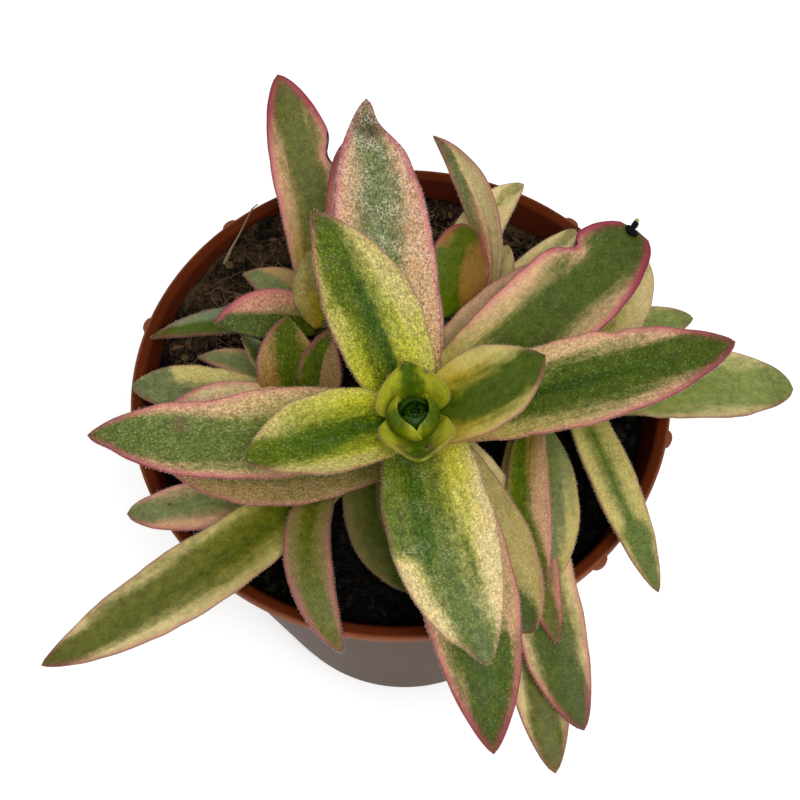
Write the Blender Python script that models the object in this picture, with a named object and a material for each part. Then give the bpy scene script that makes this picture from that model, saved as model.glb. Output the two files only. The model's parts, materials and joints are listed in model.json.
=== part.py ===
"""Potted crassula: a thin moulded nursery pot filled with soil, one large rosette of
fleshy pointed leaves in opposite pairs, six smaller leafy shoots round it and a dry straw.
The origin is the middle of the pot's flat underside, in metres, with +Z up."""

import math
from collections import namedtuple

import bmesh
import bpy
import numpy as np
from mathutils import Matrix, Vector

MM = 0.001

# Clearance that touching pieces keep
GAP = 0.3 * MM

# Pot, a tapered cup with a flat rim flange
POT_HEIGHT = 92.0 * MM
RIM_RADIUS = 52.5 * MM
RIM_THICKNESS = 2.0 * MM
RIM_INNER_RADIUS = 49.9 * MM
WALL_TOP_RADIUS = 50.4 * MM
BASE_RADIUS = 35.2 * MM
WALL_THICKNESS = 1.0 * MM
FLOOR_THICKNESS = 1.4 * MM
EDGE_SOFTENING = 0.5 * MM
POT_STEPS = 64

# Lugs on the rim's outer edge, three directions and the three opposite them
LUG_ANGLES = (-16.0, -48.0, 45.0)
LUG_LENGTH = 3.4 * MM
LUG_REACH = 0.9 * MM
LUG_ROOT = 1.0 * MM
LUG_THICKNESS = 1.5 * MM

# Drain holes in the floor, round its solid middle
DRAIN_HOLES = 6
DRAIN_RADIUS = 3.0 * MM
DRAIN_CIRCLE_RADIUS = 23.0 * MM

# Soil, a little higher at the back left, with low lumps
SOIL_LEVEL = 84.8 * MM
SOIL_SLOPE = (-0.022, 0.02)
SOIL_LUMP = 0.4 * MM
SOIL_RINGS = 7
STEM_HOLE_FLOOR = 70.0 * MM
STEM_HOLE_CLEARANCE = 0.4 * MM

# Stems
STEM_FOOT = STEM_HOLE_FLOOR + GAP
STEM_BEND = 88.0 * MM
STEM_SIDES = 12
STEM_STATIONS = 5

# Leaf blades
MARGIN_THICKNESS = 0.8 * MM
LEAF_THICKNESS = 2.6 * MM
CLASP = 0.6
CLASP_DEPTH = 1.0 * MM
LARGE_LEAF = 26.0 * MM
LARGE_STATIONS = 13
SMALL_STATIONS = 8
CENTRE_STEPS = 8

# Dry straw from the soil to the rim
STRAW_RADIUS = 0.55 * MM
STRAW_ROUTE = (
    (-38.1, 27.4, 88.2),
    (-36.2, 30.3, 89.6),
    (-34.8, 32.4, 91.3),
    (-32.9, 34.6, 93.1),
    (-30.2, 41.6, 93.4),
    (-29.1, 43.0, 93.1),
)

# Colours as linear RGB, with roughness
TERRACOTTA = ((0.2, 0.075, 0.035), 0.5)
PEAT = ((0.022, 0.014, 0.009), 0.95)
LEAF_GREEN = ((0.13, 0.2, 0.05), 0.5)
LEAF_YOUNG = ((0.3, 0.36, 0.06), 0.5)
STRAW_BEIGE = ((0.42, 0.32, 0.17), 0.8)

# One blade. Lengths are millimetres and angles degrees.
# root: height on the stem; azimuth: heading seen from above; rise: slope at the root;
# droop: slope lost by the tip; sweep: heading gained by the tip; belly: where it is widest;
# point: how sharply it narrows to the tip; roll: turn about its own line; cup: depth of the
# channel; aside: root moved off the stem's middle; notches: (side, place, depth, reach)
Leaf = namedtuple(
    "Leaf",
    "root azimuth rise droop sweep length width belly point roll cup thick aside notches",
    defaults=(0.5, 0.8, 0, 0.18, LEAF_THICKNESS / MM, None, ()),
)
Shoot = namedtuple("Shoot", "foot head radius leaves")

SHOOTS = {
    "main_rosette": Shoot(
        foot=(2, -9.5),
        head=(2, -25, 124),
        radius=3.8,
        leaves=(
            # Closed bud
            Leaf(121, -90, 68, 0, 0, 8.5, 7.5, 0.5, 0.6, roll=78, cup=0.75, thick=1.6, aside=(-3.2, 0)),
            Leaf(121, -90, 68, 0, 0, 8, 7.5, 0.5, 0.6, roll=-78, cup=0.75, thick=1.6, aside=(3.2, 0)),
            Leaf(122, -92, 75, 0, 0, 6, 4, 0.5, 0.6, cup=0.5, thick=1.3, aside=(0, 1.2)),
            # First pair, cupped round the bud
            Leaf(119.7, 99, 66, 15, 2, 9, 12.5, 0.45, 0.6, cup=0.55),
            Leaf(119.7, -86, 32, -10, -3, 15, 11.5, 0.5, 0.5, cup=0.55),
            # Second pair, left and right
            Leaf(118.4, -155, 28, 22, -3, 29.5, 15.5, 0.45, 0.75),
            Leaf(118.4, -8, 38, 12, 35, 24.5, 16, 0.45),
            # Third pair, back and front
            Leaf(115.4, 111, 44, 15, 18, 38, 16, 0.45, 0.9),
            Leaf(115.4, -92, 18, 42, 27, 45, 17.5, aside=(2, 0), notches=(("right", 0.93, 0.25, 0.05),)),
            # Fourth pair, left and right
            Leaf(111.5, -161, 22, 22, -24, 54.5, 17.5, notches=(("left", 0.93, 0.2, 0.05),)),
            Leaf(111.5, -1, 22, 22, 18, 56, 17, point=0.75),
            # Fifth pair, back and front
            Leaf(107.2, 100, 33, 20, -6, 59.5, 17.5, notches=(("right", 0.93, 0.36, 0.06),)),
            Leaf(107.2, -72, 8, 40, -13, 58.5, 16.5),
            # Sixth pair, left and right
            Leaf(102.5, -150, 15, 20, -49, 47.5, 21, point=0.9),
            Leaf(102.5, 28, 25, 20, 18, 56, 19, 0.6, 0.45, notches=(("left", 0.78, 0.22, 0.05),)),
            # Seventh pair, back and front
            Leaf(98.2, 94, 30, 10, 6, 60.5, 19.5, point=0.9),
            Leaf(98.5, -65, 23, 40, -1, 45, 15.5, 0.6, 0.6, roll=-14),
            # Lowest leaves
            Leaf(93.9, 47, 20, 12, -4, 43, 16, 0.45, 0.6),
            Leaf(92.5, -112, -3, 10, 69, 31.5, 15, point=0.6, aside=(-4.2, -2)),
            Leaf(94.5, -97, 2, 15, 42, 32.5, 13, point=0.7, aside=(-1, -1)),
            Leaf(97.7, -54, 16.5, 21, -2, 30.5, 10.5, point=0.6, thick=1.8, aside=(1.5, 0)),
        ),
    ),
    "shoot_back_left": Shoot(
        foot=(-15, 14),
        head=(-14.5, 9.5, 100),
        radius=2.8,
        leaves=(
            Leaf(97, 90, 42, 12, 21, 47.5, 13, 0.6, 0.7, notches=(("right", 0.64, 0.25, 0.05),)),
            Leaf(98, -179, 30, 25, 21, 21, 10, 0.4, 0.9, roll=25),
            Leaf(99, 112, 62, 20, 0, 14, 9, 0.45, 0.9, aside=(2, -1)),
            Leaf(92.5, 170, 9, 10, 31, 34, 6.5, point=0.9),
            Leaf(94, 128, 15, 15, 37, 19.5, 9.5, 0.4, 0.9),
        ),
    ),
    "shoot_left": Shoot(
        foot=(-20.5, -3),
        head=(-19.5, -7.5, 97),
        radius=2.8,
        leaves=(
            Leaf(94, 107, 60, 5, -26, 17.5, 12.5, 0.35, 0.9),
            Leaf(94, 68, 60, 5, 0, 17, 9, 0.4, 0.9, aside=(3.5, -1)),
            Leaf(92.5, 127, 35, 10, 11, 16.5, 6, 0.4, 0.9),
            Leaf(91, 125, 8, 8, 57, 22.5, 7, point=0.9),
            Leaf(91.5, 177, 20, 22, -3, 31, 11, 0.6, 0.7),
        ),
    ),
    "shoot_front_left": Shoot(
        foot=(-13.6, -19.6),
        head=(-14.4, -24, 100),
        radius=2.3,
        leaves=(
            Leaf(97.5, -119, 34, 70, 67, 36.5, 8.5, aside=(0.9, -0.9)),
            Leaf(96, -132, 14, 25, -26, 60, 13.4, aside=(0.6, -0.7)),
            Leaf(92.5, -159, 12, 10, -18, 37.5, 10, 0.6, 0.6, aside=(0.3, -0.4)),
        ),
    ),
    "shoot_front_right": Shoot(
        foot=(25, -11),
        head=(24, -16, 104),
        radius=2.8,
        leaves=(
            Leaf(100.8, -104, 24, 50, 32, 32.5, 9.5, point=0.9, roll=-18),
            Leaf(96.1, -85, 22, 42, -7, 32.5, 10.2, point=0.9),
            Leaf(95.2, -100, 12, 20, 23, 42, 7, 0.6, 0.7, thick=1.6),
            Leaf(94.5, -102, 13, 30, 34, 57, 13, 0.6, 0.7, thick=2, notches=(("right", 0.7, 0.12, 0.06),)),
            Leaf(90.5, -100, 16, 34, 19, 64, 12, 0.6, 0.7, thick=2),
        ),
    ),
    "shoot_right": Shoot(
        foot=(33, 1),
        head=(32, -4, 97),
        radius=2.8,
        leaves=(
            Leaf(94.5, -80, 24, 42, 9, 46, 8.5, point=0.7),
            Leaf(93, -3, 14, 14, -3, 41, 15, 0.6, 0.6, aside=(1, -3)),
            Leaf(93, 41, 16, 10, -39, 27, 8.5, point=0.7),
            Leaf(94, 40, 35, 10, 27, 27, 12, point=0.6),
        ),
    ),
    "shoot_back_right": Shoot(
        foot=(16.5, 17),
        head=(15.5, 12.5, 100),
        radius=2.8,
        leaves=(
            Leaf(97, 110, 60, 15, -62, 18, 12, point=0.5, aside=(-3.4, -1.8)),
            Leaf(96, 76, 48, 25, 69, 35.5, 8, point=0.9, roll=55, aside=(2, 1)),
            Leaf(95, 58, 55, 10, 0, 11.5, 7, point=0.7, aside=(2, 2)),
            Leaf(94, 92, 20, 10, -62, 30, 10, 0.45, 0.7, aside=(-3, 1)),
            Leaf(93, 30, 15, 8, 15, 25.5, 8, point=0.6),
        ),
    ),
}


def clear_scene():
    for thing in list(bpy.data.objects):
        bpy.data.objects.remove(thing, do_unlink=True)


def make_material(name, finish):
    colour, roughness = finish
    material = bpy.data.materials.new(name)
    material.use_nodes = True
    shader = material.node_tree.nodes["Principled BSDF"]
    shader.inputs["Base Color"].default_value = (*colour, 1.0)
    shader.inputs["Roughness"].default_value = roughness
    material.diffuse_color = (*colour, 1.0)
    return material


def add_object(name, bm, material, sharp_angle=math.radians(40)):
    """Turn a bmesh into a closed, outward-facing object of triangles."""
    bmesh.ops.recalc_face_normals(bm, faces=bm.faces)
    bmesh.ops.triangulate(bm, faces=bm.faces, quad_method="FIXED")
    mesh = bpy.data.meshes.new(name)
    bm.to_mesh(mesh)
    bm.free()
    mesh.shade_smooth()
    mesh.set_sharp_from_angle(angle=sharp_angle)
    thing = bpy.data.objects.new(name, mesh)
    bpy.context.scene.collection.objects.link(thing)
    if material:
        mesh.materials.append(material)
    return thing


def apply_boolean(target, operation, pieces):
    """Join or cut target with all of pieces at once, then remove them."""
    group = bpy.data.collections.new(target.name + "_pieces")
    bpy.context.scene.collection.children.link(group)
    for piece in pieces:
        bpy.context.scene.collection.objects.unlink(piece)
        group.objects.link(piece)
        piece.hide_render = True
        piece.display_type = "WIRE"
    modifier = target.modifiers.new(operation.title(), "BOOLEAN")
    modifier.operation = operation
    modifier.operand_type = "COLLECTION"
    modifier.collection = group
    modifier.solver = "EXACT"
    bpy.context.view_layer.update()
    shaped = bpy.data.meshes.new_from_object(target.evaluated_get(bpy.context.evaluated_depsgraph_get()))
    target.modifiers.remove(modifier)
    target.data = shaped
    for piece in pieces:
        bpy.data.objects.remove(piece, do_unlink=True)
    bpy.data.collections.remove(group)
    shaped.shade_smooth()
    shaped.set_sharp_from_angle(angle=math.radians(40))


def turned(name, profile, material, steps):
    """Turn a profile of (radius, height) points, whose ends are on the axis, about +Z."""
    bm = bmesh.new()
    corners = [bm.verts.new((radius, 0.0, height)) for radius, height in profile]
    edges = [bm.edges.new(pair) for pair in zip(corners, corners[1:])]
    bmesh.ops.spin(
        bm,
        geom=corners + edges,
        cent=(0, 0, 0),
        axis=(0, 0, 1),
        angle=2 * math.pi,
        steps=steps,
        use_merge=True,
    )
    bmesh.ops.remove_doubles(bm, verts=bm.verts, dist=0.001 * MM)
    return add_object(name, bm, material)


def cylinder(name, x, y, bottom, top, radius, sides):
    bm = bmesh.new()
    bmesh.ops.create_cone(
        bm,
        cap_ends=True,
        segments=sides,
        radius1=radius,
        radius2=radius,
        depth=top - bottom,
        matrix=Matrix.Translation((x, y, (bottom + top) / 2)),
    )
    return add_object(name, bm, None)


def wall_radius(height):
    """Outer radius of the pot's tapered wall at a height."""
    return BASE_RADIUS + (WALL_TOP_RADIUS - BASE_RADIUS) * height / (POT_HEIGHT - RIM_THICKNESS)


def make_lug(angle):
    """A small flat tab that stands out from the rim's edge, with its outer corners cut back."""
    bm = bmesh.new()
    inner = RIM_RADIUS - LUG_ROOT
    outer = RIM_RADIUS + LUG_REACH
    middle = POT_HEIGHT - RIM_THICKNESS / 2
    size = Matrix.Diagonal((outer - inner, LUG_LENGTH, LUG_THICKNESS, 1.0))
    place = Matrix.Translation(((outer + inner) / 2, 0, middle))
    bmesh.ops.create_cube(bm, size=1.0, matrix=Matrix.Rotation(angle, 4, "Z") @ place @ size)
    upright = [
        edge
        for edge in bm.edges
        if all(vert.co.xy.length > RIM_RADIUS for vert in edge.verts)
        and abs(edge.verts[0].co.z - edge.verts[1].co.z) > LUG_THICKNESS / 2
    ]
    bmesh.ops.bevel(
        bm, geom=upright, offset=LUG_REACH * 0.7, segments=2, profile=0.5, affect="EDGES", material=-1
    )
    return add_object("lug", bm, None)


def make_pot(material):
    soft = EDGE_SOFTENING
    under_rim = POT_HEIGHT - RIM_THICKNESS
    profile = [
        (0.0, 0.0),
        (BASE_RADIUS - soft, 0.0),
        (wall_radius(soft), soft),
        (wall_radius(under_rim), under_rim),
        (RIM_RADIUS - soft / 2, under_rim),
        (RIM_RADIUS, under_rim + soft / 2),
        (RIM_RADIUS, POT_HEIGHT - soft / 2),
        (RIM_RADIUS - soft / 2, POT_HEIGHT),
        (RIM_INNER_RADIUS + soft / 2, POT_HEIGHT),
        (RIM_INNER_RADIUS, POT_HEIGHT - soft / 2),
        (wall_radius(under_rim) - WALL_THICKNESS, under_rim),
        (wall_radius(FLOOR_THICKNESS) - WALL_THICKNESS, FLOOR_THICKNESS),
        (0.0, FLOOR_THICKNESS),
    ]
    pot = turned("pot", profile, material, POT_STEPS)
    lugs = [make_lug(math.radians(angle + turn)) for angle in LUG_ANGLES for turn in (0, 180)]
    apply_boolean(pot, "UNION", lugs)
    holes = []
    for index in range(DRAIN_HOLES):
        angle = 2 * math.pi * (index + 0.5) / DRAIN_HOLES
        x = DRAIN_CIRCLE_RADIUS * math.cos(angle)
        y = DRAIN_CIRCLE_RADIUS * math.sin(angle)
        holes.append(cylinder("drain", x, y, -FLOOR_THICKNESS, 2 * FLOOR_THICKNESS, DRAIN_RADIUS, 16))
    apply_boolean(pot, "DIFFERENCE", holes)
    return pot


def soil_height(x, y):
    """Height of the uneven soil surface, by a sum of waves on a gentle slope."""
    wave = math.sin(190 * x + 0.6) * math.cos(170 * y - 0.4)
    wave += 0.6 * math.sin(410 * x - 330 * y + 1.1)
    wave += 0.4 * math.cos(520 * y + 260 * x)
    return SOIL_LEVEL + SOIL_SLOPE[0] * x + SOIL_SLOPE[1] * y + SOIL_LUMP * wave


def make_soil(material):
    """The body of soil inside the pot, with a plain round hole for each stem."""
    floor = FLOOR_THICKNESS + GAP
    clear = WALL_THICKNESS + GAP
    rim = wall_radius(SOIL_LEVEL) - clear
    profile = [(0.0, floor), (wall_radius(floor) - clear, floor)]
    profile += [(rim * step / SOIL_RINGS, SOIL_LEVEL) for step in range(SOIL_RINGS, -1, -1)]
    soil = turned("soil", profile, material, POT_STEPS)
    for vertex in soil.data.vertices:
        if vertex.co.z < SOIL_LEVEL - GAP:
            continue
        vertex.co.z = soil_height(vertex.co.x, vertex.co.y)
        fit = (wall_radius(vertex.co.z) - clear) / rim
        vertex.co.x *= fit
        vertex.co.y *= fit
    holes = []
    for shoot in SHOOTS.values():
        radius = shoot.radius * MM + STEM_HOLE_CLEARANCE
        x, y = (value * MM for value in shoot.foot)
        holes.append(cylinder("stem_hole", x, y, STEM_HOLE_FLOOR, POT_HEIGHT, radius, STEM_SIDES))
    apply_boolean(soil, "DIFFERENCE", holes)
    return soil


def stem_point(shoot, height):
    """Middle of the stem at a height: upright in the soil, then leaning to its head."""
    foot = Vector((*shoot.foot, STEM_BEND / MM))
    head = Vector(shoot.head)
    share = max(0.0, (height - foot.z) / (head.z - foot.z))
    point = foot.lerp(head, share)
    return Vector((point.x, point.y, height))


def grid_body(columns, rows, place):
    """A closed body from a grid whose rows wrap round it: place(column, row) gives each point."""
    bm = bmesh.new()
    bmesh.ops.create_grid(bm, x_segments=columns, y_segments=rows, size=1.0)
    for vert in bm.verts:
        column = round((vert.co.x + 1) / 2 * columns)
        row = round((vert.co.y + 1) / 2 * rows)
        vert.co = place(column, row % rows)
    bmesh.ops.remove_doubles(bm, verts=bm.verts, dist=0.001 * MM)
    bmesh.ops.holes_fill(bm, edges=[edge for edge in bm.edges if edge.is_boundary])
    return bm


def make_stem(name, shoot, material):
    """The stem, round in its hole and domed where the youngest leaves grow from it."""
    top = shoot.head[2] * MM
    heights = [STEM_FOOT]
    heights += [STEM_BEND + (top - STEM_BEND) * step / STEM_STATIONS for step in range(STEM_STATIONS + 1)]
    points = [stem_point(shoot, height / MM) * MM for height in heights]
    radii = [shoot.radius * MM] * (len(points) - 1) + [shoot.radius * MM * 0.35]

    def place(column, row):
        angle = 2 * math.pi * row / STEM_SIDES
        return points[column] + Vector((math.cos(angle), math.sin(angle), 0)) * radii[column]

    return add_object(name, grid_body(len(points) - 1, STEM_SIDES, place), material)


def leaf_line(shoot, leaf, stations):
    """Points and frames (along, across, up) at evenly spaced stations of a blade."""
    steps = stations * CENTRE_STEPS
    middles = (np.arange(steps) + 0.5) / steps
    places = np.arange(stations + 1) / stations

    def heading(share):
        azimuth = np.radians(leaf.azimuth + leaf.sweep * share)
        slope = np.radians(leaf.rise - leaf.droop * share)
        flat = np.cos(slope)
        return azimuth, np.stack([flat * np.cos(azimuth), flat * np.sin(azimuth), np.sin(slope)], axis=1)

    start = np.array(stem_point(shoot, leaf.root))
    if leaf.aside:
        start += np.array([leaf.aside[0], leaf.aside[1], 0.0])
    else:
        out = CLASP_DEPTH / MM
        azimuth = math.radians(leaf.azimuth)
        start += np.array([out * math.cos(azimuth), out * math.sin(azimuth), 0.0])
    moves = heading(middles)[1] * leaf.length / steps
    line = np.vstack([start, start + np.cumsum(moves, axis=0)])[::CENTRE_STEPS]
    azimuth, along = heading(places)
    across = np.stack([np.sin(azimuth), -np.cos(azimuth), np.zeros_like(azimuth)], axis=1)
    up = np.cross(across, along)
    roll = math.radians(leaf.roll)
    turned_across = across * math.cos(roll) + up * math.sin(roll)
    turned_up = up * math.cos(roll) - across * math.sin(roll)
    return places, line, turned_across, turned_up


def half_width(leaf, share, side):
    """Half the blade's width at a share of its length, with that side's notches."""
    if share < leaf.belly:
        wide = CLASP + (1 - CLASP) * math.sin(share / leaf.belly * math.pi / 2)
    else:
        wide = max(0.0, 1 - ((share - leaf.belly) / (1 - leaf.belly)) ** 2) ** leaf.point
    for notch_side, place, depth, reach in leaf.notches:
        if notch_side == side:
            wide *= 1 - depth * math.exp(-(((share - place) / reach) ** 2))
    return leaf.width / 2 * wide


def make_leaf(shoot, leaf):
    """A fleshy blade: channelled above, keeled below, with a blunt margin and a pointed tip."""
    stations = LARGE_STATIONS if leaf.length * MM > LARGE_LEAF else SMALL_STATIONS
    places, line, across, up = leaf_line(shoot, leaf, stations)
    margin = MARGIN_THICKNESS / MM
    sections = []
    for index, share in enumerate(places):
        plump = 0.55 + 0.45 * math.sin(math.pi / 2 * min(1.0, share / 0.5))
        middle = max(leaf.thick * plump * (1 - 0.45 * share**2), margin + 0.1)
        left = half_width(leaf, share, "left")
        right = half_width(leaf, share, "right")
        # Across the top from left to right margin, then back underneath
        outline = [(-left, leaf.cup * left), (-left / 2, leaf.cup * left / 4), (0, 0)]
        outline += [(right / 2, leaf.cup * right / 4), (right, leaf.cup * right)]
        outline += [(right * 0.96, leaf.cup * right - margin), (0, -middle)]
        outline += [(-left * 0.96, leaf.cup * left - margin)]
        if index == stations:
            outline = [(0, -margin / 2)] * len(outline)
        sections.append([line[index] + across[index] * x + up[index] * z for x, z in outline])

    def place(column, row):
        return Vector(sections[column][row]) * MM

    return add_object("leaf", grid_body(stations, len(sections[0]), place), None)


def make_shoot(name, shoot, material):
    """A stem with all of its leaves, grown together as one body."""
    stem = make_stem(name, shoot, material)
    apply_boolean(stem, "UNION", [make_leaf(shoot, leaf) for leaf in shoot.leaves])
    return stem


def make_straw(material):
    """A dry stalk, as a poly curve with a round section and closed ends."""
    curve = bpy.data.curves.new("straw", "CURVE")
    curve.dimensions = "3D"
    spline = curve.splines.new("POLY")
    spline.points.add(len(STRAW_ROUTE) - 1)
    for point, place in zip(spline.points, STRAW_ROUTE):
        point.co = (*(value * MM for value in place), 1.0)
    curve.bevel_depth = STRAW_RADIUS
    curve.bevel_resolution = 1
    curve.use_fill_caps = True
    straw = bpy.data.objects.new("straw", curve)
    bpy.context.scene.collection.objects.link(straw)
    curve.materials.append(material)
    return straw


def main():
    clear_scene()
    make_pot(make_material("terracotta_plastic", TERRACOTTA))
    make_soil(make_material("peat_soil", PEAT))
    rosette_leaf = make_material("rosette_leaf", LEAF_YOUNG)
    shoot_leaf = make_material("shoot_leaf", LEAF_GREEN)
    for name, shoot in SHOOTS.items():
        make_shoot(name, shoot, rosette_leaf if name == "main_rosette" else shoot_leaf)
    make_straw(make_material("dry_straw", STRAW_BEIGE))


main()
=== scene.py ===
"""Finish for the potted crassula: its pot and peat, every leaf with its fringe, and a white studio."""

import json
import math
import random
from collections import namedtuple

import bmesh
import bpy
import numpy as np
from bpy.props import FloatProperty, FloatVectorProperty, IntProperty, PointerProperty
from mathutils import Matrix, Vector, noise

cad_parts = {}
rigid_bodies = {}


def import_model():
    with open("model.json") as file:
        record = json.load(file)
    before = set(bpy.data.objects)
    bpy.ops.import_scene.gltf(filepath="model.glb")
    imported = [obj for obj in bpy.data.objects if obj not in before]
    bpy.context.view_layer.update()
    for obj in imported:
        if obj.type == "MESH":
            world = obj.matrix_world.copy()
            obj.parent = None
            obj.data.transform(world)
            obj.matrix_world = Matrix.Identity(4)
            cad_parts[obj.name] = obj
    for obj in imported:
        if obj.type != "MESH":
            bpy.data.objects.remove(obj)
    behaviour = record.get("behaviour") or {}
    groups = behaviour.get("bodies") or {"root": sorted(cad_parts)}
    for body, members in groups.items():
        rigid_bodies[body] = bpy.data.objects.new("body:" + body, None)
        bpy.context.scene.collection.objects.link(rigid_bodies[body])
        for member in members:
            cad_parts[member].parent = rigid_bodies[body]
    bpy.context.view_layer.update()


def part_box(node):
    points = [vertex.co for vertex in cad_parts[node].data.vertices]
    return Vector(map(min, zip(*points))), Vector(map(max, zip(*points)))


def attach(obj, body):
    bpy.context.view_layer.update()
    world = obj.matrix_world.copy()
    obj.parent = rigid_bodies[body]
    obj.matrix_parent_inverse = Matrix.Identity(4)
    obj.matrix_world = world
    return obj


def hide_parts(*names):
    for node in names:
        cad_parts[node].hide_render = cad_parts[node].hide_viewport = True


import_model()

bl_info = {
    "name": "Potted crassula",
    "version": (1, 0, 0),
    "blender": (4, 5, 0),
    "location": "3D View > Sidebar > Crassula",
    "description": "Builds a variegated crassula in a nursery pot around its fixed frame",
    "category": "Object",
}

MM = 0.001
POT_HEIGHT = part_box("pot")[1].z
SOIL_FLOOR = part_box("soil")[0].z

# One blade. Lengths are millimetres and angles degrees.
# root: height on the stem; azimuth: heading seen from above; rise: slope at the root;
# droop: slope lost by the tip; sweep: heading gained by the tip; belly: where it is widest;
# point: how sharply it narrows to the tip; roll: turn about its own line; cup: depth of the
# channel; aside: root moved off the stem's middle; notches: (side, place, depth, reach);
# look: its colouring; shift: how far the green stripe lies off the middle, as a share of the
# half width; spill: (side, start, end, limit) where the green runs farther out; plain: a side
# whose margin has no pink; scars: (across, along, radius in mm, depth); keel: how far the dark
# line runs beside the middle, toward the leaf's right side
Leaf = namedtuple(
    "Leaf",
    "root azimuth rise droop sweep length width belly point roll cup thick aside notches "
    "look shift spill plain scars keel",
    defaults=(0.5, 0.8, 0, 0.18, 2.6, None, (), "cream", 0.0, (), "", (), 0.0),
)
Shoot = namedtuple("Shoot", "foot head radius leaves")

# One half shell of the bud, in millimetres. middle: centre at its widest; radius: there; turn: the
# side that it covers; high: height of its dome; wide and long: half the opening's width and length;
# stripe: the green's share; look: its colouring
Scale = namedtuple("Scale", "middle radius turn high wide long thick stripe look")
BUD = (
    Scale((2.1, -25.9, 124.6), 4.4, 204, 2.9, 2.7, 4.4, 0.9, 0.35, "bud"),
    Scale((2.1, -25.9, 124.6), 4.2, -13, 2.8, 2.5, 4.2, 0.9, 0.45, "bud"),
    # Inner scales, darkest green: partly their own colour, partly painted shade deep in the bud
    Scale((2.2, -25.3, 123.9), 3.1, 100, 1.9, 1.7, 2.2, 0.6, 0.9, "shaded_heart"),
    Scale((2.2, -25.3, 123.9), 3.1, -80, 1.9, 1.7, 2.2, 0.6, 0.9, "shaded_heart"),
    Scale((2.3, -24.9, 123.3), 1.9, 175, 1.2, 0.9, 1.2, 0.4, 0.9, "shaded_heart"),
    Scale((2.3, -24.9, 123.3), 1.9, -5, 1.2, 0.9, 1.2, 0.4, 0.9, "shaded_heart"),
    Scale((2.3, -24.9, 122.8), 0.95, 90, 0.9, 0.2, 0.3, 0.3, 0.9, "shaded_heart"),
    Scale((2.3, -24.9, 122.8), 0.95, -90, 0.9, 0.2, 0.3, 0.3, 0.9, "shaded_heart"),
)

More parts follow.
